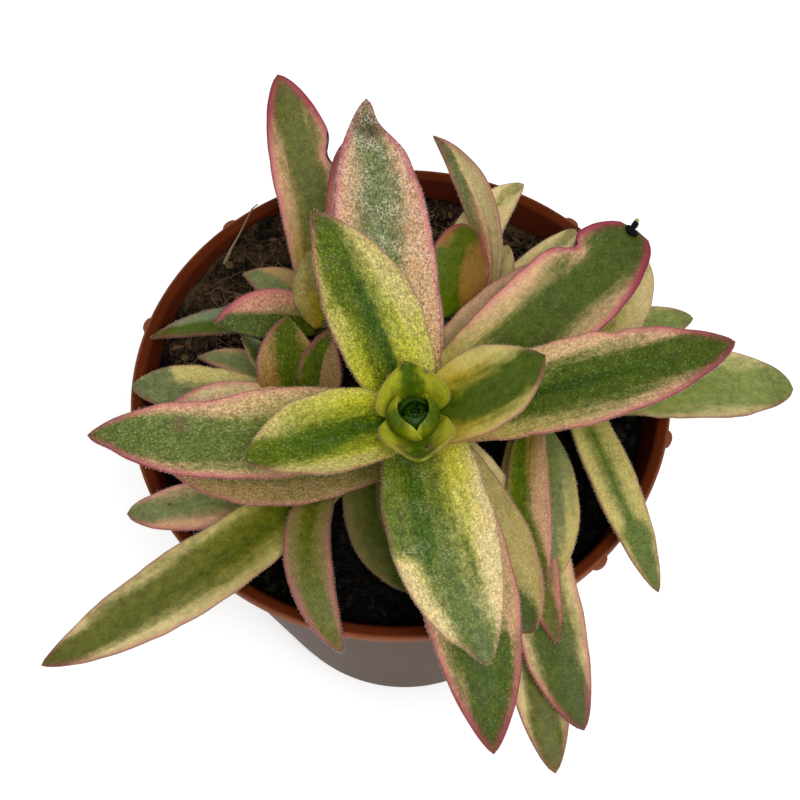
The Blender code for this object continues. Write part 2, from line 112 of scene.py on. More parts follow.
SHOOTS = {
    "main_rosette": Shoot(
        foot=(2, -9.5),
        head=(2, -25, 124),
        radius=3.8,
        leaves=(
            # First pair, cupped round the bud
            Leaf(
                119.7, 99, 66, 15, 2, 9, 12.5, 0.35, 0.75,
                cup=0.55, look="bud", scars=((0.75, 0.8, 0.7, 0.2),),
            ),
            Leaf(
                119.7, -86, 32, -10, -3, 14.4, 12, 0.6, 0.42, cup=0.5, thick=1.4, look="bud",
                scars=(
                    (-0.25, 0.7, 0.42, 1), (-0.4, 0.78, 1.5, 0.2), (0.45, 0.76, 1.3, 0.2),
                    (-0.55, 0.6, 0.25, 1), (-0.42, 0.66, 0.25, 1), (0.4, 0.7, 0.22, 1),
                ),
            ),
            # Second pair, left and right
            Leaf(118.4, -155, 28, 22, -3, 29.5, 15.5, 0.45, 0.75, look="young"),
            Leaf(118.4, -8, 38, 12, 35, 24.5, 16, 0.45, look="golden", shift=0.12),
            # Third pair, back and front
            Leaf(
                115.4, 111, 44, 15, 18, 38, 16, 0.45, 0.9,
                look="fresh", shift=-0.18, spill=(("left", 0.55, 1, 0.75),),
            ),
            Leaf(
                115.4, -92, 18, 42, 27, 45, 17.5,
                aside=(2, 0), notches=(("right", 0.93, 0.25, 0.05),),
                look="pearly", keel=3.2, shift=0.1, spill=(("right", 0.17, 0.6, 1.4),),
            ),
            # Fourth pair, left and right
            Leaf(
                111.5, -161, 22, 22, -24, 54.5, 17.5,
                notches=(("left", 0.93, 0.2, 0.05), ("right", 0.64, 0.22, 0.17)),
                look="ripe", shift=-0.12, scars=((0.35, 0.72, 1.5, 0.3),),
            ),
            Leaf(
                111.5, -1, 22, 22, 18, 56, 17,
                point=0.75, notches=(("left", 0.66, 0.08, 0.02),), look="dusky", shift=0.05,
            ),
            # Fifth pair, back and front
            Leaf(
                107.2, 100, 33, 20, -6, 59.5, 17.5,
                notches=(("right", 0.93, 0.5, 0.07),), look="frosted", scars=((0, 0.9, 3.0, 0.4),),
                spill=(("left", 0.86, 1, 0.68), ("right", 0.86, 1, 0.68)),
            ),
            Leaf(107.2, -72, 8, 40, -13, 58.5, 16.5, look="dusky", spill=(("left", 0.65, 1, 1.0),)),
            # Sixth pair, left and right
            Leaf(102.5, -150, 15, 20, -49, 47.5, 21, point=0.9, look="dull"),
            Leaf(
                102.5, 28, 25, 20, 18, 54.4, 19, 0.6, 0.4,
                notches=(("left", 0.8, 0.28, 0.035),),
                look="smooth", shift=0.05, scars=((-1, 0.81, 0.5, 1), (-0.3, 0.995, 1.0, 1)),
            ),
            # Seventh pair, back and front
            Leaf(98.2, 98.5, 30, 10, 6, 55, 19.5, point=0.6, look="blushed"),
            Leaf(98.5, -65, 23, 40, -1, 45, 15.5, 0.6, 0.6, roll=-14, look="wheaten", shift=0.2),
            # Lowest leaves
            Leaf(93.9, 47, 20, 12, -4, 43, 16, 0.45, 0.6, look="under"),
            Leaf(92.5, -112, -3, 10, 69, 31.5, 15, point=0.6, aside=(-4.2, -2), look="shade"),
            Leaf(94.5, -97, 2, 15, 42, 32.5, 13, point=0.7, aside=(-1, -1), look="shade"),
            Leaf(97.7, -54, 16.5, 21, -2, 30.5, 10.5, point=0.6, thick=1.8, aside=(1.5, 0), look="ivory"),
        ),
    ),
    "shoot_back_left": Shoot(
        foot=(-15, 14),
        head=(-14.5, 9.5, 100),
        radius=2.8,
        leaves=(
            Leaf(
                97, 90, 42, 12, 21, 47.5, 13, 0.6, 0.7,
                notches=(("right", 0.64, 0.25, 0.05),), look="olive", shift=0.04,
                scars=tuple((1, 0.57 + 0.025 * step, 0.42, 1) for step in range(7)),
            ),
            Leaf(
                98, -179, 30, 25, 21, 21, 10, 0.4, 0.9,
                roll=25, look="coral", shift=-0.5, spill=(("left", 0, 1, 1.4),), plain="left",
            ),
            Leaf(99, 112, 62, 20, 0, 15, 11.5, 0.45, 0.9, aside=(1.4, -1), look="primrose"),
            Leaf(
                92.5, 170, 9, 10, 31, 34, 6.5,
                point=0.9, look="misty", shift=-0.3, spill=(("left", 0, 1, 1.4),),
            ),
            Leaf(
                94, 128, 15, 15, 37, 19.5, 9.5, 0.4, 0.9,
                look="sandy", shift=-0.35, spill=(("left", 0, 1, 1.4),),
            ),
        ),
    ),
    "shoot_left": Shoot(
        foot=(-20.5, -3),
        head=(-19.5, -7.5, 97),
        radius=2.8,
        leaves=(
            Leaf(94, 107, 60, 5, -26, 17.5, 12.5, 0.35, 0.9, look="sheltered", shift=0.05, plain="right"),
            Leaf(
                94, 68, 60, 5, 0, 17, 9, 0.4, 0.9,
                aside=(3.5, -1), look="sheltered", shift=-0.9, spill=(("left", 0, 1, 1.4),),
            ),
            Leaf(92.5, 127, 35, 10, 11, 16.5, 6, 0.4, 0.9, look="deep"),
            Leaf(91, 125, 8, 8, 57, 22.5, 6.5, point=0.9, look="sandy"),
            Leaf(
                91.5, 177, 20, 22, -3, 31, 10.4, 0.6, 0.7,
                look="cream", shift=-0.35, spill=(("left", 0.5, 1, 1.4), ("right", 0.75, 1, 1.4)),
            ),
            Leaf(96, 189, 20, 20, -11, 22.7, 9.4, 0.45, 0.8, look="petal"),
        ),
    ),
    "shoot_front_left": Shoot(
        foot=(-13.6, -19.6),
        head=(-14.4, -24, 100),
        radius=2.3,
        leaves=(
            Leaf(97.5, -119, 34, 70, 67, 36.5, 8.2, aside=(1.0, -0.9), look="heath"),
            Leaf(
                96, -132, 14, 25, -26, 60, 13.4,
                aside=(0.6, -0.7), look="tawny", shift=-0.08, spill=(("right", 0, 0.92, 0.85),),
            ),
            Leaf(
                92.5, -159, 12, 10, -18, 37.5, 10, 0.6, 0.6,
                aside=(0.3, -0.4), look="dusty", shift=0.2, scars=((0.2, 0.8, 0.35, 1),),
            ),
        ),
    ),
    "shoot_front_right": Shoot(
        foot=(25, -11),
        head=(24, -16, 104),
        radius=2.8,
        leaves=(
            Leaf(100.8, -106, 24, 50, 32, 32.5, 7.8, point=0.9, roll=-18, look="umber", shift=0.45),
            Leaf(96.1, -86, 22, 42, -7, 32.5, 12, point=0.9, look="grey"),
            Leaf(95.2, -100, 12, 20, 23, 42, 7, 0.6, 0.7, thick=1.6, look="ruddy"),
            Leaf(
                94.5, -102, 13, 30, 34, 57, 13, 0.6, 0.7,
                thick=2, notches=(("right", 0.7, 0.12, 0.06),), look="grassy", shift=0.08,
            ),
            Leaf(90.5, -100, 16, 34, 19, 64, 12, 0.6, 0.7, thick=2, look="tawny"),
        ),
    ),
    "shoot_right": Shoot(
        foot=(33, 1),
        head=(32, -4, 97),
        radius=2.8,
        leaves=(
            Leaf(
                94.5, -80, 24, 42, 9, 46, 8.3,
                point=0.7, look="banded", spill=(("left", 0.72, 1, 0.8), ("right", 0.72, 1, 0.8)),
            ),
            Leaf(93, -3, 14, 14, -3, 41, 15, 0.6, 0.6, aside=(1, -3), look="mellow"),
            Leaf(93, 41, 16, 10, -39, 27, 10, point=0.7, look="mellow"),
            Leaf(94, 40, 35, 10, 27, 27, 12, point=0.6, look="ivory"),
        ),
    ),
    "shoot_back_right": Shoot(
        foot=(16.5, 17),
        head=(15.5, 12.5, 100),
        radius=2.8,
        leaves=(
            Leaf(
                97, 110, 60, 15, -62, 18, 12,
                point=0.5, aside=(-3.4, -1.8), look="warm", shift=-0.3, spill=(("left", 0, 0.7, 1.4),),
            ),
            Leaf(
                96, 76, 48, 25, 69, 35.5, 8,
                point=0.9, roll=55, aside=(2, 1), look="striped", shift=-0.8,
            ),
            Leaf(95, 58, 55, 10, 0, 11.5, 7, point=0.7, aside=(2, 2), look="ivory"),
            Leaf(94, 92, 20, 10, -62, 30, 10, 0.45, 0.7, aside=(-3, 1), look="ivory"),
            Leaf(93, 30, 15, 8, 15, 25.5, 7, point=0.6, look="ivory"),
        ),
    ),
}

# How each kind of leaf is coloured. core, near and far: its green, the colour beside the green and
# the colour toward the margins; stripe: the green's share of the half width; blush: strength of the
# pink margin; flush: how crimson the margin turns toward the tip; scurf: amount of silvery flecks;
# rib: strength of the dark line along the middle; beads: how far the skin's beads stand out, and the
# strength of their painted highlights and glints and of the painted shade in the pits between them
Look = namedtuple("Look", "core near far stripe blush flush scurf rib beads")
LOOKS = {
    "bud": Look("sprout", "chartreuse", "lime", 0.35, 0.1, 0.0, 0.0, 0.2, 0.15),
    # Partly painted shade for the bud's hollow
    "shaded_heart": Look("bud_hollow_shade", "bud_hollow_shade", "bud_hollow_shade", 1.0, 0.0, 0.0, 0.0, 0.0, 0.1),
    "young": Look("moss", "lime", "sand", 0.5, 0.3, 0.1, 0.12, 1.0, 0.8),
    "fresh": Look("moss", "lime", "sand", 0.5, 0.4, 0.4, 0.2, 1.0, 1.0),
    "golden": Look("bottle", "gold", "sand", 0.6, 0.4, 0.0, 0.02, 0.2, 0.15),
    "pearly": Look("fern", "butter", "cream", 0.5, 0.3, 0.2, 0.35, 1.0, 0.8),
    "ripe": Look("fern", "wheat", "shell", 0.62, 0.8, 0.5, 0.15, 0.1, 0.95),
    "dusky": Look("bottle", "wheat", "shell", 0.64, 0.7, 0.8, 0.1, 0.9, 0.7),
    "frosted": Look("sage", "shell", "shell", 0.5, 1.0, 0.7, 0.72, 0.2, 1.1),
    "smooth": Look("leek", "wheat", "shell", 0.62, 1.0, 1.1, 0.05, 0.1, 0.4),
    "olive": Look("olive", "tan", "shell", 0.6, 1.0, 1.0, 0.0, 0.3, 0.45),
    "tawny": Look("olive", "hay", "cream", 0.5, 0.45, 0.3, 0.0, 0.6, 0.25),
    "cream": Look("sage", "hay", "sand", 0.5, 0.3, 0.1, 0.05, 0.4, 0.5),
    "banded": Look("fern", "hay", "sand", 0.3, 0.35, 0.1, 0.0, 0.4, 0.5),
    "primrose": Look("hay", "gold", "sand", 0.3, 0.2, 0.0, 0.1, 0.1, 0.5),
    "grey": Look("sage", "mist", "sand", 0.5, 0.2, 0.1, 0.05, 0.3, 0.3),
    "dusty": Look("sage", "tan", "shell", 0.5, 0.6, 0.1, 0.05, 0.3, 0.3),
    "umber": Look("moss", "tan", "shell", 0.5, 0.4, 0.2, 0.0, 0.3, 0.5),
    "ruddy": Look("olive", "moor", "rose", 0.55, 0.5, 0.3, 0.0, 0.3, 0.4),
    "mellow": Look("meadow", "meadow", "cream", 0.7, 0.3, 0.2, 0.0, 0.3, 0.25),
    "heath": Look("olive", "moor", "clay", 0.45, 0.5, 0.1, 0.0, 0.3, 0.4),
    "blushed": Look("olive", "sand", "shell", 0.4, 0.9, 0.8, 0.0, 0.1, 0.6),
    "wheaten": Look("leek", "sand", "wheat", 0.35, 0.3, 0.5, 0.0, 0.1, 0.4),
    "under": Look("olive", "hay", "shell", 0.5, 0.4, 0.3, 0.0, 0.1, 0.4),
    "dull": Look("olive", "moor", "tan", 0.4, 0.5, 0.1, 0.3, 0.1, 0.9),
    "shade": Look("leek", "moor", "moor", 0.6, 0.2, 0.0, 0.0, 0.1, 0.1),
    "ivory": Look("hay", "sand", "cream", 0.3, 0.2, 0.0, 0.1, 0.1, 0.3),
    "grassy": Look("leek", "wheat", "cream", 0.62, 0.7, 0.5, 0.0, 0.3, 0.3),
    "deep": Look("pine", "moor", "hay", 0.7, 0.2, 0.0, 0.0, 0.3, 0.25),
    "misty": Look("bottle", "mist", "mist", 0.4, 0.2, 0.4, 0.0, 0.3, 0.25),
    "sandy": Look("sage", "moor", "tan", 0.6, 0.4, 0.2, 0.0, 0.2, 0.15),
    "striped": Look("sage", "rose", "cream", 0.4, 0.5, 0.4, 0.0, 0.3, 0.4),
    "sheltered": Look("moss", "ochre", "tan", 0.6, 0.6, 0.4, 0.05, 0.3, 0.7),
    "warm": Look("moss", "ochre", "ochre", 0.45, 0.5, 0.7, 0.0, 0.3, 0.2),
    "coral": Look("leek", "fawn", "rose", 0.5, 1.0, 0.8, 0.1, 0.1, 0.8),
    "petal": Look("shell", "shell", "cream", 0.3, 1.0, 0.6, 0.5, 0.0, 0.6),
}

# Route of the dry straw, from the soil over the rim, in millimetres
STRAW_ROUTE = (
    (-38.1, 27.4, 88.2),
    (-36.2, 30.3, 89.6),
    (-34.8, 32.4, 91.3),
    (-32.9, 34.6, 93.1),
    (-30.2, 41.6, 93.4),
    (-29.1, 43.0, 93.1),
)
# Its blades: offset to the side and half width in millimetres, and the share of the route they follow
STRAW_BLADES = ((0.0, 0.34, 1.0), (0.85, 0.22, 0.72))
STRAW_HALF_THICKNESS = 0.18
STRAW_LIFT = 0.15


def linear(code):
    """An sRGB hex value as linear red, green and blue."""
    shares = [int(code[place : place + 2], 16) / 255 for place in (0, 2, 4)]
    return tuple(s / 12.92 if s <= 0.04045 else ((s + 0.055) / 1.055) ** 2.4 for s in shares)


def hue(name, description, code):
    return FloatVectorProperty(
        name=name, description=description, default=linear(code), subtype="COLOR", size=3, min=0, max=1
    )


def size(name, description, millimetres):
    return FloatProperty(
        name=name, description=description, default=millimetres * MM, min=0, unit="LENGTH", precision=5
    )


class LeafForm(bpy.types.PropertyGroup):
    margin: size("Margin", "Thickness of a blade at its edge", 0.8)
    clasp: FloatProperty(
        name="Clasp", description="Width at the root, as a share of the widest", default=0.6
    )
    wave: size("Wave", "Height of the slow waves along a margin", 0.3)
    groove: size("Groove", "Depth of the groove along the middle", 0.22)
    papilla: size("Papilla spacing", "Distance between the skin's beads", 0.56)
    hair_length: size("Hair length", "Length of the fringe's longest hairs", 0.42)
    hair_spacing: size("Hair spacing", "Distance between the fringe's hairs", 0.32)
    long_stations: IntProperty(name="Stations", description="Cross-sections of a long blade", default=64)


class LeafColours(bpy.types.PropertyGroup):
    moss: hue("Moss", "Yellowish green of the youngest leaves", "53620F")
    sprout: hue("Sprout", "Fresh green along the middle of the bud's leaves", "44580A")
    # Partly painted shade: the inner scales' green, darkened for the shade deep in the bud
    bud_hollow_shade: hue("Well", "Darkest green, deep in the bud", "233E06")
    bottle: hue("Bottle", "Dark green of smooth upper leaves", "455514")
    leek: hue("Leek", "Middle green", "4B5721")
    pine: hue("Pine", "Darkest green, low in the plant", "3C4617")
    olive: hue("Olive", "Brownish green of sunburnt leaves", "5F6126")
    fern: hue("Fern", "Fresh green of full-grown leaves", "5F6C33")
    sage: hue("Sage", "Greyish green", "70764A")
    mist: hue("Mist", "Pale grey-green where a leaf catches the sky", "6E7B5A")
    meadow: hue("Meadow", "Light green of leaves low at the rim", "7A8446")
    moor: hue("Moor", "Dull brownish green", "777040")
    chartreuse: hue("Chartreuse", "Yellow-green of the bud", "70780A")
    lime: hue("Lime", "Yellow-green at the roots of young leaves", "AEAE30")
    gold: hue("Gold", "Golden yellow", "B69E34")
    butter: hue("Butter", "Soft yellow", "C2BA4C")
    hay: hue("Hay", "Greenish straw colour beside the green", "9C9458")
    wheat: hue("Wheat", "Ripe straw colour beside the green of full-grown leaves", "B4A466")
    ochre: hue("Ochre", "Orange-brown of a sheltered leaf", "9A7038")
    tan: hue("Tan", "Warm light brown", "A28654")
    fawn: hue("Fawn", "Pale brown", "9C885C")
    sand: hue("Sand", "Pale yellowish margins", "BCAE68")
    cream: hue("Cream", "Palest margins", "D2BE86")
    shell: hue("Shell", "Pinkish cream", "CCA07C")
    rose: hue("Rose", "Dusty pink", "C2886E")
    clay: hue("Clay", "Brownish pink in the shade", "8A6A50")
    blush: hue("Blush", "Pink that creeps in from the margins", "CA7278")
    edge: hue("Edge", "Crimson line along the margins", "8A2C40")
    # Silver also paints the highlights on the bead tops
    silver_flecks_and_glints: hue("Silver", "Dry flecks on the beads", "E2DCC2")
    callus: hue("Callus", "Brown skin round a wound", "6E5A3C")
    scar: hue("Scar", "Corky brown wounds", "1E120A")
    stem: hue("Stem", "Skin of the stems", "6F6A35")
    hair: hue("Hair", "Fringe along the margins", "E6DDC4")


class PotForm(bpy.types.PropertyGroup):
    rim_width: size("Rim width", "Width of the flat rim flange", 2.6)
    rim_thickness: size("Rim thickness", "Thickness of the rim flange", 2.0)
    wall: size("Wall", "Thickness of the wall", 1.0)
    edge_radius: size("Edge radius", "Rounding of the rim's edges", 0.35)
    lip_radius: size("Lip radius", "Rounding of the rim's inner edge", 1.1)
    base_radius: size("Base radius", "Radius of the flat underside's edge", 35.2)
    wall_top_radius: size("Wall top radius", "Outer radius of the wall under the rim", 50.4)
    steps: IntProperty(name="Steps", description="Facets round the pot", default=180)
    clay: hue("Clay", "Brown of the rim", "50200C")
    # Worn is the painted highlight along the rim's rounded outer edge
    worn: hue("Worn", "Scuffed plastic along the rim's outer edge", "7E4A32")
    inside: hue("Inside", "Brown of the wall's inner face", "461A0C")
    # Outside is a dusty brown, darkened partly as painted shade
    outside: hue("Outside", "Dusty brown of the wall's outer face", "463020")


class SoilForm(bpy.types.PropertyGroup):
    level: size("Level", "Height of the soil's surface", 84.8)
    lump: size("Lumps", "Height of the clods on the surface", 0.9)
    crumbs: IntProperty(name="Crumbs", description="Loose crumbs on the surface", default=2600)
    fibres: IntProperty(name="Fibres", description="Loose root and moss fibres", default=1500)
    # Dark is also the painted shade at the front of the soil and its litter
    dark: hue("Dark", "Damp peat", "050302")
    brown: hue("Brown", "Dry peat", "463522")
    bark: hue("Bark", "Bark chips", "5C452C")
    fibre: hue("Fibre", "Root and moss fibres", "82694A")
    straw: hue("Straw", "The bleached straw", "8A7458")


class StageForm(bpy.types.PropertyGroup):
    elevation: FloatProperty(
        name="Elevation",
        description="Camera above the horizon",
        default=math.radians(60.77),
        subtype="ANGLE",
    )
    roll: FloatProperty(
        name="Roll",
        description="Tilt of the camera about its own axis",
        default=math.radians(-1.6),
        subtype="ANGLE",
    )
    distance: size("Distance", "Camera to the rim's plane along its axis", 232.1)
    lens: FloatProperty(name="Lens", description="Focal length for a 36 mm sensor", default=54.0)
    sky: FloatProperty(name="Sky", description="Strength of the even white light", default=0.6)
    key: FloatProperty(name="Key", description="Power of the large soft lamp, in watts", default=3.5)
    glow: FloatProperty(name="Glow", description="Strength of the lit table", default=0.35)
    floor: hue("Floor", "Lit white table", "F4F4F4")


class CrassulaSettings(bpy.types.PropertyGroup):
    leaf: PointerProperty(type=LeafForm)
    colours: PointerProperty(type=LeafColours)
    pot: PointerProperty(type=PotForm)
    soil: PointerProperty(type=SoilForm)
    stage: PointerProperty(type=StageForm)


# Materials


def add(tree, kind, links=None, out=0, **settings):
    """Add a shader node. links gives inputs a socket or a value, and out names the output to return."""
    node = tree.nodes.new("ShaderNode" + kind)
    for name, value in settings.items():
        setattr(node, name, value)
    for name, value in (links or {}).items():
        if isinstance(value, bpy.types.NodeSocket):
            tree.links.new(value, node.inputs[name])
        else:
            node.inputs[name].default_value = value
    return node.outputs[out]


# Settings that many nodes share: a soft step between two values, and a mix of two colours
SOFT = {"interpolation_type": "SMOOTHSTEP"}
MIXED = {"out": 2, "data_type": "RGBA"}


def new_material(name, **sockets):
    """A Principled material; sockets are its constant values, with _ for a space."""
    material = bpy.data.materials.new(name)
    material.use_nodes = True
    shader = material.node_tree.nodes["Principled BSDF"]
    for socket, value in sockets.items():
        shader.inputs[socket.replace("_", " ")].default_value = value
    return material, material.node_tree, shader


def rgba(colour):
    return (*colour, 1.0)


def object_mm(tree):
    """Object coordinates in millimetres, so that a noise scale is one over a size in millimetres."""
    place = add(tree, "TexCoord", out="Object")
    return add(tree, "VectorMath", {0: place, 3: 1 / MM}, operation="SCALE")


def leaf_skin(settings):
    """Crassula leaf: a fleshy blade under a waxy skin of fine clear beads. The beads scatter small glints,
    which are also painted as pale dots and lighter bead tops, with painted shade in the pits between
    them; the flesh lets a little light through, and the colour runs in streaks along the blade."""
    colours = settings.colours
    material, tree, shader = new_material(
        "crassula_leaf_skin",
        Roughness=0.4,
        IOR=1.2,
        Subsurface_Weight=0.1,
        Subsurface_Radius=(1.0, 0.7, 0.25),
        Subsurface_Scale=0.001,
    )
    here = object_mm(tree)
    blade, share, dose, mark, touch = (
        add(tree, "Attribute", out="Vector", attribute_name=name)
        for name in ("blade", "share", "dose", "mark", "touch")
    )
    margin = add(tree, "Attribute", out="Fac", attribute_name="margin")
    core, near, outer = (
        add(tree, "Attribute", out="Color", attribute_name=name) for name in ("core", "near", "far")
    )
    across, along, top = add(tree, "SeparateXYZ", {0: share}).node.outputs
    blush, scurf, stripe = add(tree, "SeparateXYZ", {0: dose}).node.outputs
    rib, shift, scar = add(tree, "SeparateXYZ", {0: mark}).node.outputs
    beads, flush, keel = add(tree, "SeparateXYZ", {0: touch}).node.outputs
    sideways = add(tree, "SeparateXYZ", {0: blade})

    # Streaks 2 mm wide and 16 mm long, ragged ones 0.6 mm by 2 mm, dashes 0.3 mm by 0.8 mm, blotches
    # and the skin's grain
    drawn_out = []
    for wide, long, detail in ((2, 16, 2), (0.6, 2, 3), (0.3, 0.8, 2)):
        place = add(tree, "VectorMath", {0: blade, 1: (1 / wide, 1 / long, 1)}, operation="MULTIPLY")
        drawn_out.append(add(tree, "TexNoise", {"Vector": place, "Scale": 1, "Detail": detail}))
    streak, ragged, dash = drawn_out
    mottle = add(tree, "TexNoise", {"Vector": here, "Scale": 1 / 1.5, "Detail": 6, "Roughness": 0.75})
    grain = add(tree, "TexNoise", {"Vector": here, "Scale": 1 / 0.42, "Detail": 2, "Roughness": 0.6})
    cell = add(tree, "TexVoronoi", {"Vector": here, "Scale": MM / settings.leaf.papilla, "Randomness": 0.9})
    bead = add(tree, "MapRange", {0: cell, 1: 0.08, 2: 0.55, 3: 1, 4: 0}, **SOFT)
    # Painted highlight: the colour is lighter on the bead tops, and varies with the grain and the dashes
    bead_light_and_grain = add(tree, "Math", {0: bead, 1: 0.3, 2: grain}, operation="MULTIPLY_ADD")
    bead_light_and_grain = add(tree, "Math", {0: dash, 1: 0.8, 2: bead_light_and_grain}, operation="MULTIPLY_ADD")
    bead_light_and_grain = add(tree, "MapRange", {0: bead_light_and_grain, 1: 0.68, 2: 1.34, 3: -0.5, 4: 0.6})
    bead_light_and_grain = add(tree, "Math", {0: bead_light_and_grain, 1: beads, 2: 1.0}, operation="MULTIPLY_ADD")

    # How far beyond the green stripe a point is, as a share of the half width
    off = add(tree, "Math", {0: across, 1: shift}, operation="SUBTRACT")
    off = add(tree, "Math", {0: off}, operation="ABSOLUTE")
    for pattern, weight in ((streak, 0.6), (ragged, 0.2), (mottle, 0.3)):
        off = add(tree, "Math", {0: pattern, 1: weight, 2: off}, operation="MULTIPLY_ADD")
    beyond = add(tree, "Math", {0: off, 1: stripe}, operation="SUBTRACT")
    in_band = add(tree, "MapRange", {0: beyond, 1: -0.32, 2: 0.26, 3: 0, 4: 1}, **SOFT)

    # Green core with blotches and beads lit by painted highlights, a dark line and a darker flame along the
    # middle
    cloud = add(tree, "MapRange", {0: mottle, 1: 0.3, 2: 0.7, 3: 0.64, 4: 1.38})
    green = add(tree, "VectorMath", {0: core, 3: cloud}, operation="SCALE")
    green = add(tree, "VectorMath", {0: green, 3: bead_light_and_grain}, operation="SCALE")
    line = add(tree, "Math", {0: sideways, 1: keel}, operation="SUBTRACT")
    line = add(tree, "Math", {0: line}, operation="ABSOLUTE")
    thread = add(tree, "MapRange", {0: line, 1: 0.12, 2: 0.55, 3: 0.95, 4: 0}, **SOFT)
    flame = add(tree, "Math", {0: streak, 1: 6.0, 2: line}, operation="MULTIPLY_ADD")
    flame = add(tree, "MapRange", {0: flame, 1: 3.0, 2: 5.2, 3: 0.75, 4: 0}, **SOFT)
    dark = add(tree, "Math", {0: thread, 1: flame}, operation="MAXIMUM")
    fading = add(tree, "MapRange", {0: along, 1: 0.6, 2: 0.88, 3: 1, 4: 0})
    dark = add(tree, "Math", {0: dark, 1: fading}, operation="MULTIPLY")
    dark = add(tree, "Math", {0: dark, 1: rib}, operation="MULTIPLY")
    deep = add(tree, "VectorMath", {0: green, 1: (0.36, 0.6, 0.25)}, operation="MULTIPLY")
    green = add(tree, "Mix", {0: dark, 6: green, 7: deep}, **MIXED)

    # Pale band: one colour beside the green and near the root, another toward the margin and the tip
    outward = add(tree, "Math", {0: beyond, 1: 0.7, 2: along}, operation="MULTIPLY_ADD")
    outward = add(tree, "Math", {0: streak, 1: 0.3, 2: outward}, operation="MULTIPLY_ADD")
    farther = add(tree, "MapRange", {0: outward, 1: 0.45, 2: 1.1, 3: 0, 4: 1}, **SOFT)
    pale = add(tree, "Mix", {0: farther, 6: near, 7: outer}, **MIXED)
    cloud = add(tree, "MapRange", {0: mottle, 1: 0.3, 2: 0.7, 3: 0.84, 4: 1.16})
    pale = add(tree, "VectorMath", {0: pale, 3: cloud}, operation="SCALE")
    pale = add(tree, "VectorMath", {0: pale, 3: bead_light_and_grain}, operation="SCALE")

    # Painted shade in pits 0.3 mm across and 1.1 mm apart, between the beads
    upper = add(tree, "Mix", {0: in_band, 6: green, 7: pale}, **MIXED)
    pit_shade = add(tree, "TexVoronoi", {"Vector": here, "Scale": 1 / 1.1})
    pit_shade = add(tree, "MapRange", {0: pit_shade, 1: 0.06, 2: 0.22, 3: 0.6, 4: 0}, **SOFT)
    pit_shade = add(tree, "Math", {0: pit_shade, 1: beads}, operation="MULTIPLY", use_clamp=True)
    pit_shaded = add(tree, "VectorMath", {0: upper, 1: (0.45, 0.42, 0.35)}, operation="MULTIPLY")
    upper = add(tree, "Mix", {0: pit_shade, 6: upper, 7: pit_shaded}, **MIXED)

    # Underside, where the colours run together
    under = add(tree, "Mix", {0: 0.6, 6: core, 7: pale}, **MIXED)
    skin = add(tree, "Mix", {0: top, 6: under, 7: upper}, **MIXED)

    # Pink that creeps in from the margin, a crimson flush near the tip, and the crimson line
    inward = add(tree, "Math", {0: ragged, 1: 1.2, 2: margin}, operation="MULTIPLY_ADD")
    pink = add(tree, "Math", {0: blush, 1: -0.9, 2: inward}, operation="MULTIPLY_ADD")
    pink = add(tree, "MapRange", {0: pink, 1: 0.1, 2: 1.5, 3: 0.75, 4: 0}, **SOFT)
    pink = add(tree, "Math", {0: pink, 1: blush}, operation="MULTIPLY", use_clamp=True)
    skin = add(tree, "Mix", {0: pink, 6: skin, 7: rgba(colours.blush)}, **MIXED)
    red = add(tree, "Math", {0: flush, 1: -1.1, 2: inward}, operation="MULTIPLY_ADD")
    red = add(tree, "MapRange", {0: red, 1: -0.4, 2: 2.1, 3: 0.85, 4: 0}, **SOFT)
    red = add(tree, "Math", {0: red, 1: flush}, operation="MULTIPLY", use_clamp=True)
    skin = add(tree, "Mix", {0: red, 6: skin, 7: rgba(colours.edge)}, **MIXED)
    rim = add(tree, "MapRange", {0: margin, 1: 0.0, 2: 0.34, 3: 0.9, 4: 0}, **SOFT)
    rim_share = add(tree, "Math", {0: blush, 1: 0.7, 2: 0.25}, operation="MULTIPLY_ADD")
    rim = add(tree, "Math", {0: rim, 1: rim_share}, operation="MULTIPLY", use_clamp=True)
    skin = add(tree, "Mix", {0: rim, 6: skin, 7: rgba(colours.edge)}, **MIXED)

    # Painted shade: the margin curls down, and its own shade is painted as a darker colour
    curled = add(tree, "MapRange", {0: margin, 1: 0.0, 2: 0.8, 3: 0.68, 4: 1}, **SOFT)
    skin = add(tree, "VectorMath", {0: skin, 3: curled}, operation="SCALE")

    # Corky wounds with a brown halo
    wound = add(tree, "Math", {0: ragged, 1: 0.5, 2: scar}, operation="MULTIPLY_ADD")
    halo = add(tree, "MapRange", {0: wound, 1: 0.25, 2: 0.5, 3: 0, 4: 1}, **SOFT)
    near_scar = add(tree, "Math", {0: scar, 1: 4.0}, operation="MULTIPLY", use_clamp=True)
    halo = add(tree, "Math", {0: halo, 1: near_scar}, operation="MULTIPLY")
    halo = add(tree, "Math", {0: halo, 1: 0.6}, operation="MINIMUM")
    skin = add(tree, "Mix", {0: halo, 6: skin, 7: rgba(colours.callus)}, **MIXED)
    wound = add(tree, "MapRange", {0: wound, 1: 0.46, 2: 0.85, 3: 0, 4: 0.95})
    skin = add(tree, "Mix", {0: wound, 6: skin, 7: rgba(colours.scar)}, **MIXED)

